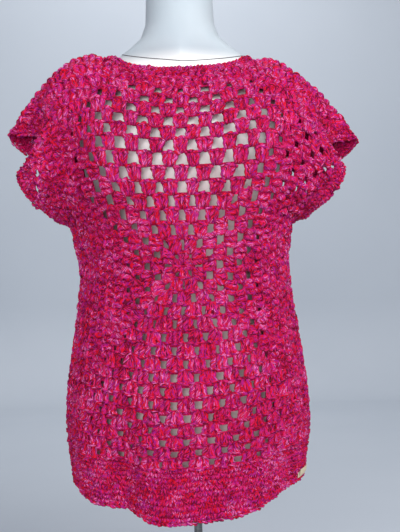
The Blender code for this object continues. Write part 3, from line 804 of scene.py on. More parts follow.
@dataclass
class TallStitch(StitchModel):
    """A post of two strands laid round each other, under the loop along its top."""

    length: float = 0.0205
    strand: float = 0.0037
    lay: float = 0.36
    cleft: float = 0.2
    waist: float = 0.62
    twist: float = 128.0
    flat: float = 0.80
    swell: tuple[float, ...] = (0.85, 1.02, 1.12, 1.12, 1.14, 0.90)
    sway: tuple[float, ...] = (0.0, 0.0005, -0.0005, 0.0006, -0.0003, 0.0)
    loop_tilt: float = 0.22
    loop_span: float = 0.0100
    loop_strand: float = 0.0022
    loop_swell: float = 1.15
    loop_bow: float = 0.0020
    loop_lift: float = 0.0004
    loop_level: float = 0.93

    def post(self) -> Piece:
        """The post: two lobes, turned along their length and drawn in at the base.

        Returns:
            The post.
        """
        steps = len(self.swell) - 1
        post = self.tube(self.strand, self.length, sides=8, parts=steps, plies=14)
        with Bench.editing():
            Bench.pick(lambda p: abs(p.x) < self.cleft * self.strand)
            bpy.ops.transform.resize(value=(1, 1, self.waist), center_override=(0, 0, 0))
            for k, (share, shift) in enumerate(zip(self.swell, self.sway)):
                turn = math.radians(self.twist * (k / steps - 0.5))
                middle = self.at(self.length * k / steps)
                bpy.ops.transform.rotate(value=turn, orient_axis="Y", center_override=middle)
                bpy.ops.transform.resize(value=(share, 1, share), center_override=middle)
                bpy.ops.transform.translate(value=(shift, 0, 0))
            bpy.ops.mesh.select_all(action="SELECT")
            bpy.ops.transform.resize(value=(1, 1, self.flat), center_override=(0, 0, 0))
        return post

    def loop(self) -> Piece:
        """The loop that lies along the top of the stitch, bowed to the front.

        Returns:
            The loop.
        """
        loop = self.tube(self.loop_strand, self.loop_span, sides=5, parts=3, plies=8)
        grown = (self.loop_swell, 1, self.loop_swell)
        with Bench.editing():
            for level in (self.loop_span / 3, 2 * self.loop_span / 3):
                self.at(level)
                bpy.ops.transform.translate(value=(0, 0, self.loop_bow))
                bpy.ops.transform.resize(value=grown, center_override=(0, level, self.loop_bow))
            bpy.ops.mesh.select_all(action="SELECT")
            bpy.ops.transform.translate(value=(0, -0.5 * self.loop_span, 0))
        place = (0.0, self.loop_level * self.length, self.loop_lift)
        return self.set_down(loop, -0.5 * math.pi + self.loop_tilt, place)

    def parts(self) -> list[Piece]:
        """The post and its loop."""
        return [self.post(), self.loop()]


@dataclass
class ShortStitch(StitchModel):
    """A short stitch: two plump legs that spread from its base like a V."""

    length: float = 0.0075
    strand: float = 0.0020
    lay: float = 0.30
    lean: float = 0.36
    reach: float = 1.22
    drop: float = 0.1
    apart: float = 0.0006
    swell: tuple[float, ...] = (0.6, 1.1, 1.15, 0.6)
    rise: tuple[float, ...] = (-0.0008, 0.0006, 0.0008, -0.0008)

    def leg(self, hand: int) -> Piece:
        """One leg, plump in its middle.

        Args:
            hand: Which leg, 1 or -1.

        Returns:
            The leg.
        """
        span, steps = self.reach * self.length, len(self.swell) - 1
        leg = self.tube(self.strand, span, sides=6, parts=steps, plies=8)
        with Bench.editing():
            for k, (grow, rise) in enumerate(zip(self.swell, self.rise)):
                middle = self.at(k * span / steps)
                bpy.ops.transform.resize(value=(grow, 1, grow), center_override=middle)
                bpy.ops.transform.translate(value=(0, 0, rise))
        place = (hand * self.apart, -self.drop * self.length, 0)
        return self.set_down(leg, -hand * self.lean, place)

    def parts(self) -> list[Piece]:
        """Both legs."""
        return [self.leg(1), self.leg(-1)]


class Stitch(NamedTuple):
    """One copy of a stitch on a patch, by the chart places of its base and its top.

    Wide is its width against the model's, height how far its middle lies outside the cloth's
    face, group a number from 0 to 1 that the stitches of one cluster share, and bow how far
    its middle lies to one side of a straight line.
    """

    start: Pair
    end: Pair
    wide: float
    height: float
    group: float = 0.0
    bow: float = 0.0


class Yarnwork:
    """Lays copies of a stitch on the cloth, each bent to it, and joins them in one mesh."""

    def __init__(self, seed: int) -> None:
        """Starts with nothing laid.

        Args:
            seed: Where the small differences between the stitches start from.
        """
        self.chance = np.random.default_rng(seed)
        self.points: list[np.ndarray] = []
        self.faces: list[tuple[int, ...]] = []
        self.maps: list[np.ndarray] = []
        self.tones: list[np.ndarray] = []
        self.count = 0

    def pick(self, piles: list[list[Stitch]]) -> list[Stitch]:
        """One of the piles, by chance."""
        return piles[int(self.chance.choice(len(piles)))]

    def lay(self, template: Template, patch: Patch, stitches: list[Stitch]) -> None:
        """Adds copies of one stitch on one patch.

        Args:
            template: The stitch.
            patch: The cloth that it goes on.
            stitches: Its copies.
        """
        start, end, wide, height, group, bow = (np.array(row, float) for row in zip(*stitches))
        number, corners = len(stitches), template.corners
        foot, _ = patch.read(start)
        head, _ = patch.read(end)
        ahead = unit(head - foot)
        along = corners[:, 1] / template.length
        spots = start[:, None] + (end - start)[:, None] * along[None, :, None]
        points, normals = patch.read(spots.reshape(-1, 2))
        points = points.reshape(number, -1, 3)
        normals = normals.reshape(number, -1, 3)
        forward = ahead[:, None] - normals * (ahead[:, None] * normals).sum(-1, keepdims=True)
        across = np.cross(unit(forward), normals)
        wide, height = wide[:, None, None], height[:, None, None]
        bowed = bow[:, None] * np.sin(math.pi * np.clip(along, 0, 1))[None]
        points = points + across * (corners[None, :, 0:1] * wide + bowed[..., None])
        points = points + normals * (corners[None, :, 2:3] * wide + height)
        self.points.append(points.reshape(-1, 3))
        for k in range(number):
            first = self.count + k * len(corners)
            self.faces += [tuple(first + c for c in face) for face in template.faces]
        self.count += number * len(corners)
        shift = self.chance.uniform(0, 400, (number, 1, 2)) * (0.0, 1.0)
        self.maps.append((template.spots[None] + shift).reshape(-1, 2))
        tone = np.stack([self.chance.uniform(0, 1, number), group], axis=1)
        self.tones.append(np.repeat(tone, len(template.spots), axis=0))

    def finished(self, name: str) -> Piece:
        """One piece of all the stitches laid."""
        maps = {"strand": np.concatenate(self.maps), "stitch": np.concatenate(self.tones)}
        return Bench.piece(name, np.concatenate(self.points), self.faces, maps)


class Graph:
    """A short way to fill one node tree."""

    def __init__(self, tree: bpy.types.NodeTree) -> None:
        """Keeps the tree."""
        self.tree = tree

    def feed(self, socket: Socket, value: object) -> None:
        """Gives an input what it reads.

        Args:
            socket: The input.
            value: A link or a value.
        """
        if isinstance(value, Socket):
            self.tree.links.new(value, socket)
        else:
            socket.default_value = value

    def node(
        self, kind: str, inputs: dict[int | str, object] | None = None, **settings: object
    ) -> bpy.types.Node:
        """Adds a node.

        Args:
            kind: Its type, after the words ShaderNode.
            inputs: Links or values, by the inputs' numbers or names.
            **settings: Its own settings, by name.

        Returns:
            The node.
        """
        made = self.tree.nodes.new("ShaderNode" + kind)
        for name, value in settings.items():
            setattr(made, name, value)
        for key, value in (inputs or {}).items():
            self.feed(made.inputs[key], value)
        return made

    def math(self, how: str, *values: object) -> Socket:
        """A sum, product or other step on one to three links or numbers."""
        return self.node("Math", dict(enumerate(values)), operation=how).outputs[0]

    def mix(self, share: object, first: object, second: object) -> Socket:
        """A colour between two: a share of 0 gives the first and 1 the second."""
        return self.node("Mix", {0: share, 6: first, 7: second}, data_type="RGBA").outputs[2]

    def noise(self, vector: object, scale: float, detail: float = 2.0) -> Socket:
        """Cloudy noise from 0 to 1, read at a place, finer with a larger scale."""
        inputs = {"Vector": vector, "Scale": scale, "Detail": detail}
        return self.node("TexNoise", inputs).outputs["Fac"]

    def split(self, vector: object) -> list[Socket]:
        """The three parts of a vector."""
        return list(self.node("SeparateXYZ", {0: vector}).outputs)

    def combine(self, *parts: object) -> Socket:
        """A vector of three parts."""
        return self.node("CombineXYZ", dict(enumerate(parts))).outputs[0]

    def ramp(self, value: object, stops: Sequence[tuple[float, Colour]]) -> Socket:
        """A colour read from a row of colours.

        Args:
            value: Where to read, from 0 to 1.
            stops: Place and colour of each.

        Returns:
            The colour.
        """
        made = self.node("ValToRGB", {0: value})
        row = made.color_ramp.elements
        while len(row) < len(stops):
            row.new(0.5)
        for stop, (place, colour) in zip(row, stops):
            stop.position, stop.color = place, (*colour, 1.0)
        return made.outputs[0]


class MaterialGraph(Graph):
    """The graph of one material, with the place on the object to read from."""

    def __init__(self, material: bpy.types.Material) -> None:
        """Starts from the material's own shader.

        Args:
            material: The material.
        """
        super().__init__(material.node_tree)
        self.material = material
        self.shader = material.node_tree.nodes["Principled BSDF"].inputs
        self.place = self.node("TexCoord").outputs["Object"]

    def finished(self, colour: object, height: object, depth: float) -> bpy.types.Material:
        """Gives the shader its colour and its relief.

        Args:
            colour: The colour.
            height: The height of the relief, from 0 to 1.
            depth: How deep 1 is, in metres.

        Returns:
            The material.
        """
        relief = self.node("Bump", {"Distance": depth, "Height": height})
        self.feed(self.shader["Base Color"], colour)
        self.feed(self.shader["Normal"], relief.outputs[0])
        return self.material


@dataclass(frozen=True)
class PliedMarl:
    """The look of plied yarn: plies round a strand, each with a colour of its own."""

    stagger: float = 0.37
    cloud: float = 0.8
    cloud_scale: float = 34.0
    kinship: float = 0.16
    hair: Triple = (3.0, 0.35, 31.0)
    hair_scale: float = 2.2
    spread: float = 91.0

    def tree(self) -> bpy.types.NodeTree:
        """The node group, from the yarn's UV maps to a colour's number, a ply and its fibres.

        Returns:
            The node group.
        """
        tree = bpy.data.node_groups.new("plied_marl", "ShaderNodeTree")
        sockets = {"Strand": "Vector", "Stitch": "Vector", "Place": "Vector", "Run": "Float"}
        for title, kind in sockets.items():
            tree.interface.new_socket(title, in_out="INPUT", socket_type="NodeSocket" + kind)
        for title in ("Pick", "Ply", "Fibre"):
            tree.interface.new_socket(title, in_out="OUTPUT", socket_type="NodeSocketFloat")
        graph = Graph(tree)
        inside = tree.nodes.new("NodeGroupInput").outputs
        phase, along, _ = graph.split(inside["Strand"])
        own, shared, _ = graph.split(inside["Stitch"])
        ply = graph.math("ABSOLUTE", graph.math("SINE", graph.math("MULTIPLY", phase, math.pi)))
        number = graph.math("FLOOR", phase)
        stretch = graph.math("DIVIDE", along, inside["Run"])
        bend = graph.math("MULTIPLY", number, self.stagger)
        piece = graph.math("FLOOR", graph.math("ADD", stretch, bend))
        key = graph.combine(number, piece, graph.math("MULTIPLY", own, self.spread))
        dice = graph.node("TexWhiteNoise", {"Vector": key}, noise_dimensions="3D")
        cloud = graph.noise(inside["Place"], self.cloud_scale)
        cloud = graph.math("MULTIPLY_ADD", cloud, self.cloud, -0.5 * self.cloud)
        leaning = graph.math("MULTIPLY_ADD", shared, self.kinship, -0.5 * self.kinship)
        pick = graph.math("ADD", dice.outputs["Value"], graph.math("ADD", cloud, leaning))
        drawn = [graph.math("MULTIPLY", *pair) for pair in zip((phase, along, own), self.hair)]
        fibre = graph.noise(graph.combine(*drawn), self.hair_scale, 3.0)
        for socket, value in zip(tree.nodes.new("NodeGroupOutput").inputs, (pick, ply, fibre)):
            graph.feed(socket, value)
        return tree


@dataclass(frozen=True)
class Finish:
    """A finish: its name and what its shader holds all over."""

    name: str
    roughness: float = 0.6
    metallic: float = 0.0
    sheen: float = 0.0
    specular: float = 0.5
    sheen_roughness: float = 0.4

    def begin(self) -> MaterialGraph:
        """A new material's graph, with what its shader holds all over.

        Returns:
            The graph.
        """
        material = bpy.data.materials.new(self.name)
        material.use_nodes = True
        graph = MaterialGraph(material)
        for title, value in (
            ("Roughness", self.roughness),
            ("Metallic", self.metallic),
            ("Specular IOR Level", self.specular),
            ("Sheen Weight", self.sheen),
            ("Sheen Roughness", self.sheen_roughness),
        ):
            graph.shader[title].default_value = value
        return graph


@dataclass(frozen=True)
class YarnFinish(Finish):
    """Two strands of marled yarn held together, in red, hot pink and purple, with dark crimson
    plies that are partly painted shade, pale pink plies and fibre crests that are painted
    highlights, and painted shade in the grooves between plies.
    """

    run: float = 5.0
    red: Colour = (0.88, 0.001, 0.020)
    pink: Colour = (0.90, 0.025, 0.22)
    purple: Colour = (0.52, 0.010, 0.28)
    # dark: the dark crimson of some plies, also used as painted shade; light: the pale pink of
    # painted highlights
    dark: Colour = (0.16, 0.0005, 0.022)
    light: Colour = (0.98, 0.21, 0.56)
    # painted shade: how far the colour goes to the dark colour in the grooves between plies
    groove_shade: float = 0.8
    # painted highlight: how strongly, and from what fibre noise, the colour goes to the light pink
    crest_highlight: float = 1.4
    crest_highlight_from: float = 0.56
    hair: float = 0.35
    depth: float = 0.0011

    def made(self) -> bpy.types.Material:
        """The yarn's material.

        Returns:
            The material.
        """
        graph = self.begin()
        inputs = {
            "Strand": graph.node("UVMap", uv_map="strand").outputs[0],
            "Stitch": graph.node("UVMap", uv_map="stitch").outputs[0],
            "Place": graph.place,
            "Run": self.run,
        }
        pick, ply, fibre = graph.node("Group", inputs, node_tree=PliedMarl().tree()).outputs
        # Each ply's colour: red, hot pink and purple, dark crimson plies that partly stand for
        # painted shade, and pale pink plies that are painted highlights.
        stops = [(0.11, self.dark), (0.16, self.red), (0.42, self.red), (0.48, self.pink)]
        stops += [(0.66, self.pink), (0.71, self.purple), (0.88, self.purple), (0.93, self.light)]
        # Painted shade: the colour darkens towards the dark colour in the grooves between the
        # plies.
        groove_shade = graph.math("POWER", graph.math("SUBTRACT", 1.0, ply), 2.0)
        groove_shade = graph.math("MULTIPLY", groove_shade, self.groove_shade)
        colour = graph.mix(groove_shade, graph.ramp(pick, stops), (*self.dark, 1.0))
        # Painted highlight: where the fibre noise is high the colour goes towards the light pink.
        crest_highlight = graph.math("MAXIMUM", graph.math("SUBTRACT", fibre, self.crest_highlight_from), 0.0)
        crest_highlight = graph.math("MULTIPLY", crest_highlight, self.crest_highlight)
        colour = graph.mix(crest_highlight, colour, (*self.light, 1.0))
        height = graph.math("ADD", ply, graph.math("MULTIPLY", fibre, self.hair))
        return graph.finished(colour, height, self.depth)


@dataclass(frozen=True)
class GroundFinish(Finish):
    """The shaded yarn deep between the stitches."""

    deep: Colour = (0.12, 0.001, 0.02)
    warm: Colour = (0.70, 0.006, 0.11)
    scale: float = 420.0
    depth: float = 0.0015

    def made(self) -> bpy.types.Material:
        """The material of the cloth under the stitches.

        Returns:
            The material.
        """
        graph = self.begin()
        strands = graph.noise(graph.place, self.scale, 3.0)
        colour = graph.ramp(strands, [(0.35, self.deep), (0.68, self.warm)])
        return graph.finished(colour, strands, self.depth)


@dataclass(frozen=True)
class JerseyFinish(Finish):
    """The form's stretched white jersey cover, with a painted pink reflection of the red yarn low
    on the form and painted shade on the neck above the cover's edge.
    """

    # low: painted pink reflection of the red yarn, on the form below the chest
    low: Colour = (0.84, 0.69, 0.68)
    colour: Colour = (0.88, 0.88, 0.86)
    tinge: Colour = (0.80, 0.80, 0.77)
    # neck: painted shade, the white neck drawn darker grey
    neck: Colour = (0.40, 0.47, 0.52)
    levels: tuple[float, ...] = (0.62, 0.76, 0.893, 0.912)
    cloud_scale: float = 9.0
    cloud: float = 0.3
    wale: float = 1400.0
    depth: float = 0.00018

    def made(self) -> bpy.types.Material:
        """The material of the form.

        Returns:
            The material.
        """
        graph = self.begin()
        height = graph.split(graph.place)[2]
        # Up the form: painted pink reflection low down, the white cover, then the painted shade of
        # the neck.
        colours = (self.low, self.colour, self.colour, self.neck)
        colour = graph.ramp(height, list(zip(self.levels, colours)))
        cloud = graph.noise(graph.place, self.cloud_scale, 4.0)
        colour = graph.mix(graph.math("MULTIPLY", cloud, self.cloud), colour, (*self.tinge, 1.0))
        knit = graph.node("TexVoronoi", {"Vector": graph.place, "Scale": self.wale})
        return graph.finished(colour, knit.outputs["Distance"], self.depth)


@dataclass(frozen=True)
class SteelFinish(Finish):
    """Dark grey steel with fine brushing and a few rubbed places."""

    colour: Colour = (0.115, 0.12, 0.125)
    worn: Colour = (0.24, 0.245, 0.25)
    stretch: Colour = (60.0, 60.0, 900.0)
    rubbed_scale: float = 22.0
    uneven: float = 0.22
    depth: float = 0.00006

    def made(self) -> bpy.types.Material:
        """The steel's material.

        Returns:
            The material.
        """
        graph = self.begin()
        brush = graph.node("Mapping", {"Vector": graph.place, "Scale": self.stretch})
        lines = graph.noise(brush.outputs[0], 1.0, 3.0)
        rubbed = graph.math("MULTIPLY", graph.noise(graph.place, self.rubbed_scale, 4.0), lines)
        colour = graph.ramp(rubbed, [(0.18, self.colour), (0.5, self.worn)])
        rough = graph.math("MULTIPLY_ADD", lines, self.uneven, self.roughness - 0.1)
        graph.feed(graph.shader["Roughness"], rough)
        return graph.finished(colour, lines, self.depth)


@dataclass(frozen=True)
class RibbonFinish(Finish):
    """Plain woven ribbon, blank, with a faint rib across it."""

    colour: Colour = (0.66, 0.56, 0.40)
    shade: Colour = (0.42, 0.34, 0.22)
    rib: float = 380.0
    uneven: float = 1.2
    fine: float = 700.0
    depth: float = 0.0002

    def made(self) -> bpy.types.Material:
        """The ribbon's material.

        Returns:
            The material.
        """
        graph = self.begin()
        inputs = {"Vector": graph.place, "Scale": self.rib, "Distortion": self.uneven}
        rib = graph.node("TexWave", inputs, bands_direction="Z").outputs["Fac"]
        share = graph.math("MULTIPLY", rib, graph.noise(graph.place, self.fine))
        colour = graph.mix(share, (*self.colour, 1.0), (*self.shade, 1.0))
        return graph.finished(colour, rib, self.depth)


@dataclass(frozen=True)
class ClothFinish(Finish):
    """The pale grey cloth of the floor and the backdrop."""

    colour: Colour = (0.56, 0.60, 0.65)
    shade: Colour = (0.50, 0.545, 0.60)
    soft: float = 1.6
    fine: float = 500.0
    depth: float = 0.0003

    def made(self) -> bpy.types.Material:
        """The backdrop's material.

        Returns:
            The material.
        """
        graph = self.begin()
        soft = graph.noise(graph.place, self.soft, 3.0)
        colour = graph.mix(soft, (*self.colour, 1.0), (*self.shade, 1.0))
        return graph.finished(colour, graph.noise(graph.place, self.fine), self.depth)


class Wardrobe:
    """Every material, made once."""

    def __init__(self) -> None:
        """Makes them all."""
        self.yarn = YarnFinish("pink_yarn", 0.65, specular=0.12).made()
        self.ground = GroundFinish("yarn_ground", 0.8, specular=0.1).made()
        self.jersey = JerseyFinish("form_jersey", 0.55, sheen=0.1).made()
        inked = {"colour": (0.10, 0.10, 0.11), "tinge": (0.06,) * 3, "neck": (0.08,) * 3}
        self.line = JerseyFinish("form_seam", 0.6, **inked).made()
        self.steel = SteelFinish("grey_steel", 0.36, 0.9).made()
        self.ribbon = RibbonFinish("beige_ribbon", 0.75).made()
        self.cloth = ClothFinish("pale_cloth", 0.9).made()


class Sector(Enum):
    """The four sides of a granny square, as quarter turns from its top."""

    TOP = 0
    LEFT = 1
    BOTTOM = 2
    RIGHT = 3

    def turned(self, place: Pair) -> Pair:
        """Carries a chart place round from the top sector to this one.

        Args:
            place: Across and up in the top sector.

        Returns:
            Across and up in this one.
        """
        for _ in range(self.value):
            place = (-place[1], place[0])
        return place


@dataclass
class GrannySquare:
    """One square of the sweater: the cloth with its gaps, and the clusters on it."""

    garment: Garment
    side: Side
    wardrobe: Wardrobe
    tall: list[Template]
    seed: int
    base_spread: float = 0.34
    top_spread: float = 0.50
    base_closing: float = 0.70
    top_closing: float = 0.35
    widening: float = 0.25
    base_drop: float = 0.18
    top_drop: float = 0.04
    arch: float = 0.09
    first_ring: float = 0.12
    uneven: float = 0.05
    uneven_foot: float = 0.7
    uneven_width: float = 0.08
    uneven_depth: float = 0.0006
    bow: float = 0.014
    depth: float = 0.0036
    thickness: float = 0.0016
    ground_depth: float = 0.0044
    gap_levels: Pair = (-0.94, -0.26)
    corner_gap: Pair = (-0.82, -0.24)
    least_open: float = 0.38
    least_size: float = 0.25
    mesh_step: float = 0.5
    mesh_stagger: float = 0.01
    flat: float = 0.59

    @property
    def label(self) -> str:
        """The square's name in the names of its pieces."""
        return self.side.name.lower()

    @staticmethod
    def centres(number: int) -> np.ndarray:
        """Middles of the clusters' tops along one side of a round."""
        half = number - 0.5
        return -half + (np.arange(number) + 0.5) * 2 * half / number

    @staticmethod
    def roots(number: int) -> np.ndarray:
        """Middles of the clusters' bases along one side of a round."""
        half = number - 1.5
        return -half + np.arange(number) * 2 * half / (number - 1) if number > 1 else np.zeros(1)

    @staticmethod
    def snugness(number: int) -> float:
        """How wide a round's clusters spread, less in the crowded first rounds."""
        return min(1.0, 0.55 + 0.09 * number)

    @staticmethod
    def looseness(across: float, up: float) -> float:
        """How far the gaps stand open at a chart place, from 0 where they are pulled shut."""
        rows = [np.interp(across, SLACK_ACROSS, shares) for _, shares in SLACK]
        return max(0.0, float(np.interp(up, [row[0] for row in SLACK], rows)))

    def gaps(self) -> list[np.ndarray]:
        """Outlines of the gaps in the cloth, between the middles of the posts round them.

        Returns:
            Four chart corners of each gap.
        """
        outlines = []
        for number in range(1, ROUNDS + 1):
            near, far = (number + level for level in self.corner_gap)
            rows = [[(-far, near), (-near, near), (-near, far), (-far, far)]]
            tops, bases = self.centres(number), self.roots(number)
            snug = self.snugness(number)
            foot = number - 1 - self.base_drop
            for k in range(number - 1):
                row = []
                for level in (number + level for level in self.gap_levels):
                    share = (level - foot) / (number - self.top_drop - foot)
                    for post, hand in ((k, 1), (k + 1, -1)):
                        base = bases[post] + hand * self.base_spread * snug
                        top = tops[post] + hand * self.top_spread * snug
                        row.append((base + (top - base) * share, level))
                rows.append([row[0], row[1], row[3], row[2]])
            for row in rows:
                for sector in Sector:
                    outline = np.array([sector.turned(place) for place in row])
                    middle = outline.mean(axis=0)
                    loose = self.looseness(*middle)
                    if loose > self.least_open:
                        size = self.least_size + (1 - self.least_size) * loose
                        outlines.append(middle + (outline - middle) * size)
        return outlines

    def cloth(self) -> Piece:
        """The thin cloth under the stitches, with every gap cut out.

        Returns:
            The cloth.
        """
        edge, end = np.arange(-ROUNDS, ROUNDS, self.mesh_step), float(ROUNDS)
        border = [(a, -end) for a in edge] + [(end, b) for b in edge]
        border += [(-a, end) for a in edge] + [(-end, -b) for b in edge]
        places = [tuple(map(float, place)) for place in border]
        edges = [(k, (k + 1) % len(border)) for k in range(len(border))]
        gaps = self.gaps()
        for outline in gaps:
            first = len(places)
            places += [tuple(corner) for corner in outline]
            edges += [(first + k, first + (k + 1) % 4) for k in range(4)]
        for k, a in enumerate(edge[1:]):
            places += [(a + self.mesh_stagger * (k % 3), b) for b in edge[1:]]
        spots, _, triangles, *_ = delaunay_2d_cdt([Vector(p) for p in places], edges, [], 0, 1e-6)
        spots = np.array([tuple(spot) for spot in spots])
        triangles = np.array([tuple(t) for t in triangles])
        middles = spots[triangles].mean(axis=1)
        keep = np.ones(len(triangles), bool)
        for outline in gaps:
            ahead = np.roll(outline, -1, axis=0) - outline
            to = middles[:, None, :] - outline[None]
            turned = ahead[None, :, 0] * to[..., 1] - ahead[None, :, 1] * to[..., 0]
            keep &= ~((turned > 0).all(axis=1) | (turned < 0).all(axis=1))
        triangles = triangles[keep]
        corner = spots[triangles]
        one, two = corner[:, 1] - corner[:, 0], corner[:, 2] - corner[:, 0]
        flipped = (one[:, 0] * two[:, 1] - one[:, 1] * two[:, 0]) * -self.side.value < 0
        triangles[flipped] = triangles[flipped][:, ::-1]
        points, normals = self.garment.squares[self.side].read(spots)
        points = points - normals * self.ground_depth
        cloth = Bench.piece(f"{self.label}_panel_cloth", points, triangles.tolist())
        Bench.modifier(cloth, "SOLIDIFY", thickness=self.thickness, offset=0.0)
        return cloth

    def clusters(self, sector: Sector) -> Piece:
        """The clusters of three tall stitches in one quarter of the square.

        Args:
            sector: Which quarter.

        Returns:
            The joined stitches.
        """
        work = Yarnwork(self.seed + sector.value)
        chance = work.chance
        piles = [[] for _ in self.tall]
        for number in range(1, ROUNDS + 1):
            snug = self.snugness(number)
            for root, top in zip(self.roots(number), self.centres(number)):
                group = chance.uniform()
                shove = chance.normal(0, self.uneven, 2)
                tight = 1.0 - self.looseness(*sector.turned((top, number - 0.5)))
                for k in (-1, 0, 1):
                    low = self.base_spread * snug * (1 + self.base_closing * tight) * k
                    high = self.top_spread * snug * (1 + self.top_closing * tight) * k
                    jog = chance.normal(0, self.uneven, 4)
                    foot = number - 1 - self.base_drop + self.uneven_foot * jog[1]
                    start = (root + low + jog[0], foot)
                    crown = number - self.top_drop - self.arch * abs(k)
                    end = (top + high + shove[0] + jog[2], crown + shove[1])
                    if number == 1:
                        start = (0.5 * low, self.first_ring)
                    work.pick(piles).append(
                        Stitch(
                            sector.turned(start),
                            sector.turned(end),
                            1.0 + self.widening * tight + chance.normal(0, self.uneven_width),
                            -self.depth + chance.normal(0, self.uneven_depth),
                            group,
                            self.bow * jog[3],
                        )
                    )
        for template, pile in zip(self.tall, piles):
            work.lay(template, self.garment.squares[self.side], pile)
        return work.finished(f"{self.label}_clusters_{sector.name.lower()}")

    def build(self) -> None:
        """Makes the square, dresses its pieces and hides the CAD node that they replace."""
        node = f"{self.label}_panel"
        cloth = Bench.dress(self.cloth(), self.wardrobe.ground, node, "yarn")
        clusters = [
            Bench.dress(self.clusters(sector), self.wardrobe.yarn, node, "yarn")
            for sector in Sector
        ]
        log.info("%s square: %d clusters", self.label, 2 * ROUNDS * (ROUNDS + 1))


@dataclass
class Band:
    """Rows of short stitches on a thin strip of cloth along an edge."""

    wardrobe: Wardrobe
    short: list[Template]
    name: str
    patches: list[Patch]
    span: Pair
    drop: Pair
    rows: int
    pitch: float
    flat: Pair
    seed: int
    cells: tuple[int, int] = (96, 6)
    depth: float = 0.0032
    ground_depth: float = 0.0042
    thickness: float = 0.0018
    uneven: float = 0.12
    uneven_depth: float = 0.0006
    foot: float = 0.05
    edge_drop: float = 0.10
    edge_reach: float = 0.6
    bow: float = 0.006

    def strip(self) -> Piece:
        """The thin cloth under the rows.

        Returns:
            The strip.
        """
        along = np.linspace(*self.span, self.cells[0] + 1)
        out = np.linspace(*self.drop, self.cells[1] + 1)
        grid = []
        for line, patch in zip((along[:-1], along[:0:-1]), self.patches):
            a, b = np.meshgrid(line, out, indexing="ij")
            points, normals = patch.read(np.stack([a.ravel(), b.ravel()], axis=1))
            grid.append(points - normals * self.ground_depth)
        grid = np.concatenate(grid)
        faces = quads(len(grid) // len(out), len(out), closed=True)
        strip = Bench.piece(f"{self.name}_cloth", grid, faces)
        Bench.take(strip)
        with Bench.editing():
            bpy.ops.mesh.select_all(action="SELECT")
            bpy.ops.mesh.normals_make_consistent(inside=False)
        Bench.modifier(strip, "SOLIDIFY", thickness=self.thickness, offset=0.0)
        return strip

    def stitches(self) -> Piece:
        """The rows of short stitches, every other row half a stitch on.

        Returns:
            The joined stitches.
        """
        work = Yarnwork(self.seed)
        chance = work.chance
        height = (self.drop[1] - self.drop[0]) / self.rows
        count = round(abs(self.span[1] - self.span[0]) / self.pitch)
        step = (self.span[1] - self.span[0]) / count
        for patch in self.patches:
            piles = [[] for _ in self.short]
            for row in range(self.rows + 1):
                group = 0.0
                for k in range(count):
                    if k % 3 == 0:
                        group = chance.uniform()
                    middle = self.span[0] + (k + 0.25 + 0.5 * (row % 2)) * step
                    jog = chance.normal(0, self.uneven, 3)
                    low = self.drop[0] + (row + self.foot) * height
                    start = (middle + jog[0] * step, low + jog[1] * height)
                    end = (middle + jog[2] * step, low + height)
                    if row == self.rows:
                        level = self.drop[1] - self.edge_drop * height
                        reach = self.edge_reach * step
                        start, end = (middle - reach, level), (middle + reach, level)
                    work.pick(piles).append(
                        Stitch(
                            start,
                            end,
                            1 + chance.normal(0, self.uneven),
                            -self.depth + chance.normal(0, self.uneven_depth),
                            group,
                            self.bow * jog[0],
                        )
                    )
            for template, pile in zip(self.short, piles):
                work.lay(template, patch, pile)
        return work.finished(f"{self.name}_stitches")

    def build(self) -> None:
        """Makes the band, dresses its pieces and hides the CAD node that they replace."""
        strip = Bench.dress(self.strip(), self.wardrobe.ground, self.name, "yarn")
        rows = [Bench.dress(self.stitches(), self.wardrobe.yarn, self.name, "yarn")]
        log.info("%s: %d rows", self.name, self.rows)


@dataclass
class Seams:
    """The rows of joining stitches down the sides and along the shoulders."""

    garment: Garment
    wardrobe: Wardrobe
    short: list[Template]
    pitch: float = 0.36
    line: float = 15.98
    clear: float = 0.2
    wide: float = 0.8
    depth: float = 0.0048
    seed: int = 80

    def build(self) -> None:
        """Makes the side and shoulder seams."""
        for hand, name in ((1, "right"), (-1, "left")):
            edge, stitches = hand * self.line, []
            for b in np.arange(-ROUNDS, ARMPIT - self.clear, self.pitch):
                stitches.append(Stitch((edge, b), (edge, b + self.pitch), self.wide, -self.depth))
            for a in np.arange(NECK + self.clear, ROUNDS - self.clear, self.pitch):
                start, end = (hand * a, self.line), (hand * (a + self.pitch), self.line)
                stitches.append(Stitch(start, end, self.wide, -self.depth))
            work = Yarnwork(self.seed + hand)
            work.lay(self.short[0], self.garment.squares[Side.FRONT], stitches)
            Bench.dress(work.finished(f"seam_{name}"), self.wardrobe.yarn, "front_panel", "yarn")
            log.info("seam %s", name)


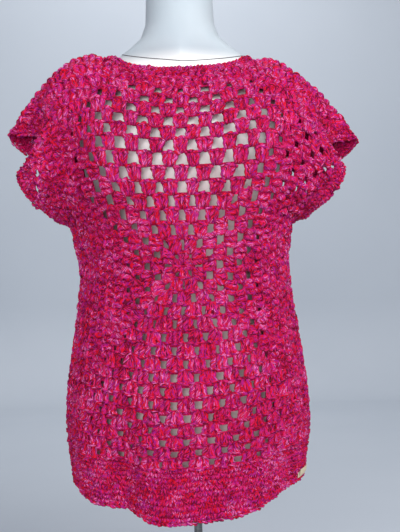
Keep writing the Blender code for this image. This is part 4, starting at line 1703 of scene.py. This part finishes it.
@dataclass
class DressForm:
    """The limbless form: its covered body and the dark line round its neck."""

    wardrobe: Wardrobe
    sides: int = 96
    step: float = 0.012
    radius: float = 0.15
    neck_rim: float = 0.006
    line_front: float = 0.8905
    line_side: float = 0.9115
    line_back: float = 0.9140
    line_tilt: float = -0.03
    line_radius: float = 0.0007
    line_ring: float = 0.1
    line_sweep: float = 1.8

    def ring(self, height: float, turns: np.ndarray) -> np.ndarray:
        """Points of the form's surface round one level.

        Args:
            height: The level.
            turns: Angles, 0 at +X and a quarter turn at the back.

        Returns:
            Points, (n, 3).
        """
        table = np.array(TORSO).T
        half_width, front, back, roundness = (np.interp(height, table[0], row) for row in table[1:])
        cosine, sine = np.cos(turns), np.sin(turns)
        depth = np.where(sine >= 0, back, front)
        power = 2.0 / roundness
        x = half_width * np.sign(cosine) * np.abs(cosine) ** power
        y = depth * np.sign(sine) * np.abs(sine) ** power
        return np.stack([x, y, np.full(len(x), height)], axis=1)

    def body(self) -> Piece:
        """The body, drawn up from a disc ring by ring.

        Returns:
            The body.
        """
        heights = [row[0] for row in TORSO]
        levels = []
        for low, high in zip(heights, heights[1:]):
            steps = max(1, round((high - low) / self.step))
            levels += [low + (high - low) * k / steps for k in range(steps)]
        levels.append(heights[-1])
        bpy.ops.object.select_all(action="DESELECT")
        bpy.ops.mesh.primitive_circle_add(
            vertices=self.sides, radius=self.radius, fill_type="NGON", location=(0, 0, levels[0])
        )
        body = Bench.named("form_body")
        with Bench.editing():
            bpy.ops.mesh.select_all(action="SELECT")
            for low, high in zip(levels, levels[1:]):
                rise = {"value": (0, 0, high - low)}
                bpy.ops.mesh.extrude_region_move(TRANSFORM_OT_translate=rise)
            bpy.ops.mesh.inset(thickness=self.neck_rim)
            bpy.ops.mesh.select_all(action="SELECT")
            bpy.ops.mesh.normals_make_consistent(inside=False)
        places = Bench.places(body.data)
        out = np.hypot(places[:, 0], places[:, 1])
        turns = np.arctan2(places[:, 1], places[:, 0])
        for height in sorted(set(np.round(places[:, 2], 6))):
            at = np.abs(places[:, 2] - height) < 1e-5
            shaped = self.ring(height, turns[at])
            places[at, :2] = shaped[:, :2] * (out[at] / out.max())[:, None]
        return Bench.reshape(body, places)

    def neckline(self) -> Piece:
        """The dark edge of the cover, a thin cord laid round the shoulders.

        Returns:
            The line.
        """
        bpy.ops.object.select_all(action="DESELECT")
        bpy.ops.mesh.primitive_torus_add(
            major_segments=144,
            minor_segments=6,
            major_radius=self.line_ring,
            minor_radius=self.line_radius,
        )
        line = Bench.named("form_neckline")
        places = Bench.places(line.data)
        turns = np.arctan2(places[:, 1], places[:, 0])
        off = np.hypot(places[:, 0], places[:, 1]) - self.line_ring
        sine = np.sin(turns)
        ends = np.where(sine < 0, self.line_front, self.line_back)
        levels = self.line_side + (ends - self.line_side) * np.abs(sine) ** self.line_sweep
        levels += self.line_tilt * places[:, 0]
        for k, (turn, level) in enumerate(zip(turns, levels)):
            point = self.ring(level, np.array([turn]))[0]
            away = np.array([math.cos(turn), math.sin(turn), 0.0])
            places[k] = point + away * off[k] + (0, 0, places[k, 2])
        return Bench.reshape(line, places)

    def build(self) -> None:
        """Makes the form, dresses its pieces and hides the CAD node that they replace."""
        Bench.dress(self.body(), self.wardrobe.jersey, "form_torso", "form")
        Bench.dress(self.neckline(), self.wardrobe.line, "form_torso", "form")
        log.info("form: body and neckline")


@dataclass
class Stand:
    """The pole and the round base under the form."""

    wardrobe: Wardrobe
    middle: float = 0.012
    radius: float = 0.0065
    foot: float = 0.0043
    top: float = 0.3097
    plate: float = 0.150
    plate_height: float = 0.011
    rim: float = 0.003
    turned_end: float = 0.0008
    socket_taper: float = 0.9
    dish: tuple[Pair, ...] = (
        (0.032, 0.0020),
        (0.088, 0.0020),
        (0.012, 0.0050),
        (0.002, 0.0060),
    )

    def round_bar(self, name: str, sides: int, radius: float, span: Pair) -> Piece:
        """A plain round bar on the stand's axis.

        Args:
            name: Its name.
            sides: How many sides it has.
            radius: Its radius.
            span: The heights of its foot and its top.

        Returns:
            The bar.
        """
        bpy.ops.object.select_all(action="DESELECT")
        place = (self.middle, 0, 0.5 * (span[0] + span[1]))
        bpy.ops.mesh.primitive_cylinder_add(
            vertices=sides, radius=radius, depth=span[1] - span[0], location=place
        )
        return Bench.named(name)

    def pole(self) -> Piece:
        """The pole, with its ends turned off.

        Returns:
            The pole.
        """
        pole = self.round_bar("stand_pole", 48, self.radius, (self.foot, self.top))
        Bench.modifier(pole, "BEVEL", width=self.turned_end, segments=2, limit_method="ANGLE")
        bpy.ops.object.shade_smooth_by_angle(angle=math.radians(35))
        return pole

    def base(self) -> Piece:
        """The base: a low dished plate with a socket for the pole.

        Returns:
            The base.
        """
        base = self.round_bar("stand_base", 96, self.plate, (0, self.plate_height))
        centre = (self.middle, 0, self.plate_height)
        with Bench.editing():
            Bench.pick(lambda p: p.z > 0.9 * self.plate_height)
            for inset, rise in self.dish:
                bpy.ops.mesh.inset(thickness=inset)
                bpy.ops.transform.translate(value=(0, 0, rise))
            taper = (self.socket_taper, self.socket_taper, 1)
            bpy.ops.transform.resize(value=taper, center_override=centre)
        sharp = {"limit_method": "ANGLE", "angle_limit": math.radians(40)}
        Bench.modifier(base, "BEVEL", width=self.rim, segments=3, **sharp)
        bpy.ops.object.shade_smooth_by_angle(angle=math.radians(50))
        return base

    def build(self) -> None:
        """Makes the stand, dresses its pieces and hides the CAD nodes that they replace."""
        Bench.dress(self.pole(), self.wardrobe.steel, "pole", "steel")
        Bench.dress(self.base(), self.wardrobe.steel, "base_plate", "steel")
        log.info("stand: pole and base")


@dataclass
class HemLabel:
    """The small blank ribbon, folded once and caught in the hem band."""

    garment: Garment
    wardrobe: Wardrobe
    across: Pair = (10.9, 12.4)
    up: Pair = (-18.70, -18.28)
    gap: float = 0.0012
    leaf: float = 0.0005
    askew: float = 0.22
    columns: int = 7
    flat: Pair = (0.048, 0.0100)
    lower_leaf: tuple[Pair, ...] = ((0.0, 0.0), (0.3, 0.2), (0.6, 0.6), (0.85, 1.2))
    fold: tuple[Pair, ...] = ((1.0, 1.9), (1.03, 2.5), (1.0, 3.3))
    upper_leaf: tuple[Pair, ...] = ((0.85, 3.6), (0.6, 3.5), (0.3, 3.0), (0.05, 3.4))

    def build(self) -> None:
        """Makes the ribbon: two leaves from one strip, with a round fold at the far end."""
        path = self.lower_leaf + self.fold + self.upper_leaf
        low, high = self.lower_leaf[-1][1], self.fold[1][1]
        levels = np.linspace(*self.up, self.columns)
        points = []
        for share, rise in path:
            a = self.across[0] + share * (self.across[1] - self.across[0])
            lift = self.askew * min(max(rise - low, 0.0) / (high - low), 1.0)
            spots = np.stack([np.full(self.columns, a), levels + lift], axis=1)
            place, normal = self.garment.squares[Side.FRONT].read(spots)
            points.append(place + normal * (self.gap + rise * 0.001))
        faces = quads(len(path), self.columns, closed=False)
        ribbon = Bench.piece("hem_label", np.concatenate(points), faces)
        Bench.modifier(ribbon, "SOLIDIFY", thickness=self.leaf, offset=0.0)
        Bench.modifier(ribbon, "SUBSURF", levels=1, render_levels=1)
        Bench.dress(ribbon, self.wardrobe.ribbon, "side_label", "ribbon")
        log.info("hem label")


@dataclass(frozen=True)
class SoftLight:
    """A square soft light: its place, what it points at, its side and its power in watts."""

    name: str
    place: Triple
    aim: Triple
    size: float
    power: float

    def build(self) -> None:
        """Hangs the light."""
        lamp = bpy.data.lights.new(self.name, "AREA")
        lamp.size, lamp.energy = self.size, self.power
        obj = bpy.data.objects.new(self.name, lamp)
        ahead = Vector(self.aim) - Vector(self.place)
        obj.location, obj.rotation_euler = self.place, ahead.to_track_quat("-Z", "Y").to_euler()
        bpy.context.scene.collection.objects.link(obj)


@dataclass
class Studio:
    """The floor and backdrop, the soft lights and the camera."""

    wardrobe: Wardrobe
    eye: Triple = (0.024, -1.4, 0.516)
    sensor: float = 36.0
    focal_pixels: float = 875.0
    photo_height: float = 532.0
    pitch: float = 2.22
    roll: float = 1.3
    lights: tuple[SoftLight, ...] = (
        SoftLight("key_light", (1.4, -2.0, 2.1), (0, 0, 0.6), 1.6, 62.0),
        SoftLight("fill_light", (-0.5, -2.7, 1.0), (0, 0, 0.6), 1.5, 39.0),
        SoftLight("back_light", (-0.1, 2.2, 2.9), (-0.4, 2.9, 0.6), 1.8, 26.0),
    )
    sky: tuple[float, float, float, float] = (0.86, 0.90, 1.0, 1.0)
    sky_strength: float = 0.45
    sheet: float = 12.0
    sheet_middle: float = -2.6
    sheet_height: float = 5.0
    sheet_bend: float = 0.5

    def backdrop(self) -> None:
        """A sheet that runs along the floor and up behind."""
        bpy.ops.object.select_all(action="DESELECT")
        bpy.ops.mesh.primitive_plane_add(size=self.sheet, location=(0, self.sheet_middle, 0))
        sweep = Bench.named("backdrop")
        with Bench.editing():
            Bench.pick(lambda p: p.y > self.sheet_middle)
            rise = {"value": (0, 0, self.sheet_height)}
            bpy.ops.mesh.extrude_region_move(TRANSFORM_OT_translate=rise)
        Bench.modifier(sweep, "BEVEL", width=self.sheet_bend, segments=12)
        sweep.data.shade_smooth()
        sweep.data.materials.append(self.wardrobe.cloth)

    def camera(self) -> None:
        """The camera, where the photograph was taken from."""
        data = bpy.data.cameras.new("camera")
        data.sensor_width = self.sensor
        data.lens = self.focal_pixels / self.photo_height * self.sensor
        camera = bpy.data.objects.new("camera", data)
        camera.location = self.eye
        turn = Matrix.Rotation(math.radians(90 + self.pitch), 3, "X")
        turn = turn @ Matrix.Rotation(math.radians(-self.roll), 3, "Z")
        camera.rotation_euler = turn.to_euler()
        bpy.context.scene.collection.objects.link(camera)
        bpy.context.scene.camera = camera

    def build(self) -> None:
        """Sets up the studio."""
        self.backdrop()
        for light in self.lights:
            light.build()
        world = bpy.data.worlds.new("studio")
        world.use_nodes = True
        sky = world.node_tree.nodes["Background"].inputs
        sky["Color"].default_value = self.sky
        sky["Strength"].default_value = self.sky_strength
        bpy.context.scene.world = world
        bpy.context.scene.view_settings.view_transform = "Standard"
        self.camera()
        log.info("studio: backdrop, lights and camera")


def corners(box: tuple[Vector, Vector]) -> list[list[float]]:
    """A box as plain numbers."""
    return [list(map(float, corner)) for corner in box]


def main() -> None:
    """Builds every piece."""
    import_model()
    wardrobe, garment = Wardrobe(), Garment()
    tall = [
        TallStitch().template(),
        TallStitch(twist=-110.0, lay=-0.30, loop_tilt=-0.15).template(),
        TallStitch(twist=60.0, lay=0.62, loop_tilt=0.05).template(),
    ]
    short = [ShortStitch().template(), ShortStitch(lean=0.5, lay=-0.3).template()]
    Studio(wardrobe).build()
    DressForm(wardrobe).build()
    Stand(wardrobe).build()
    for side, seed in ((Side.FRONT, 11), (Side.BACK, 21)):
        GrannySquare(garment, side, wardrobe, tall, seed).build()
    band = partial(Band, wardrobe, short)
    both = [garment.squares[side] for side in Side]
    span, drop = (-16.0, 16.0), (-15.75, HEM)
    flat = (1.08, 0.065)
    band("hem_band", both, span, drop, rows=10, pitch=0.40, flat=flat, seed=50).build()
    for name, patch, width, pitch, flat, seed in (
        ("neck_band", garment.neck(), 0.0118, 1.3, (0.58, 0.0138), 60),
        ("sleeve_edge_right", garment.sleeve(1), 0.0138, 1.35, (0.51, 0.0158), 71),
        ("sleeve_edge_left", garment.sleeve(-1), 0.0138, 1.35, (0.51, 0.0158), 69),
    ):
        span, drop = (0.0, len(patch.places) - 1.0), (-0.002, width)
        band(name, [patch], span, drop, rows=2, pitch=pitch, flat=flat, seed=seed).build()
    Seams(garment, wardrobe, short).build()
    HemLabel(garment, wardrobe).build()


if __name__ == "__main__":
    logging.basicConfig(level=logging.INFO, format="%(name)s: %(message)s")
    main()
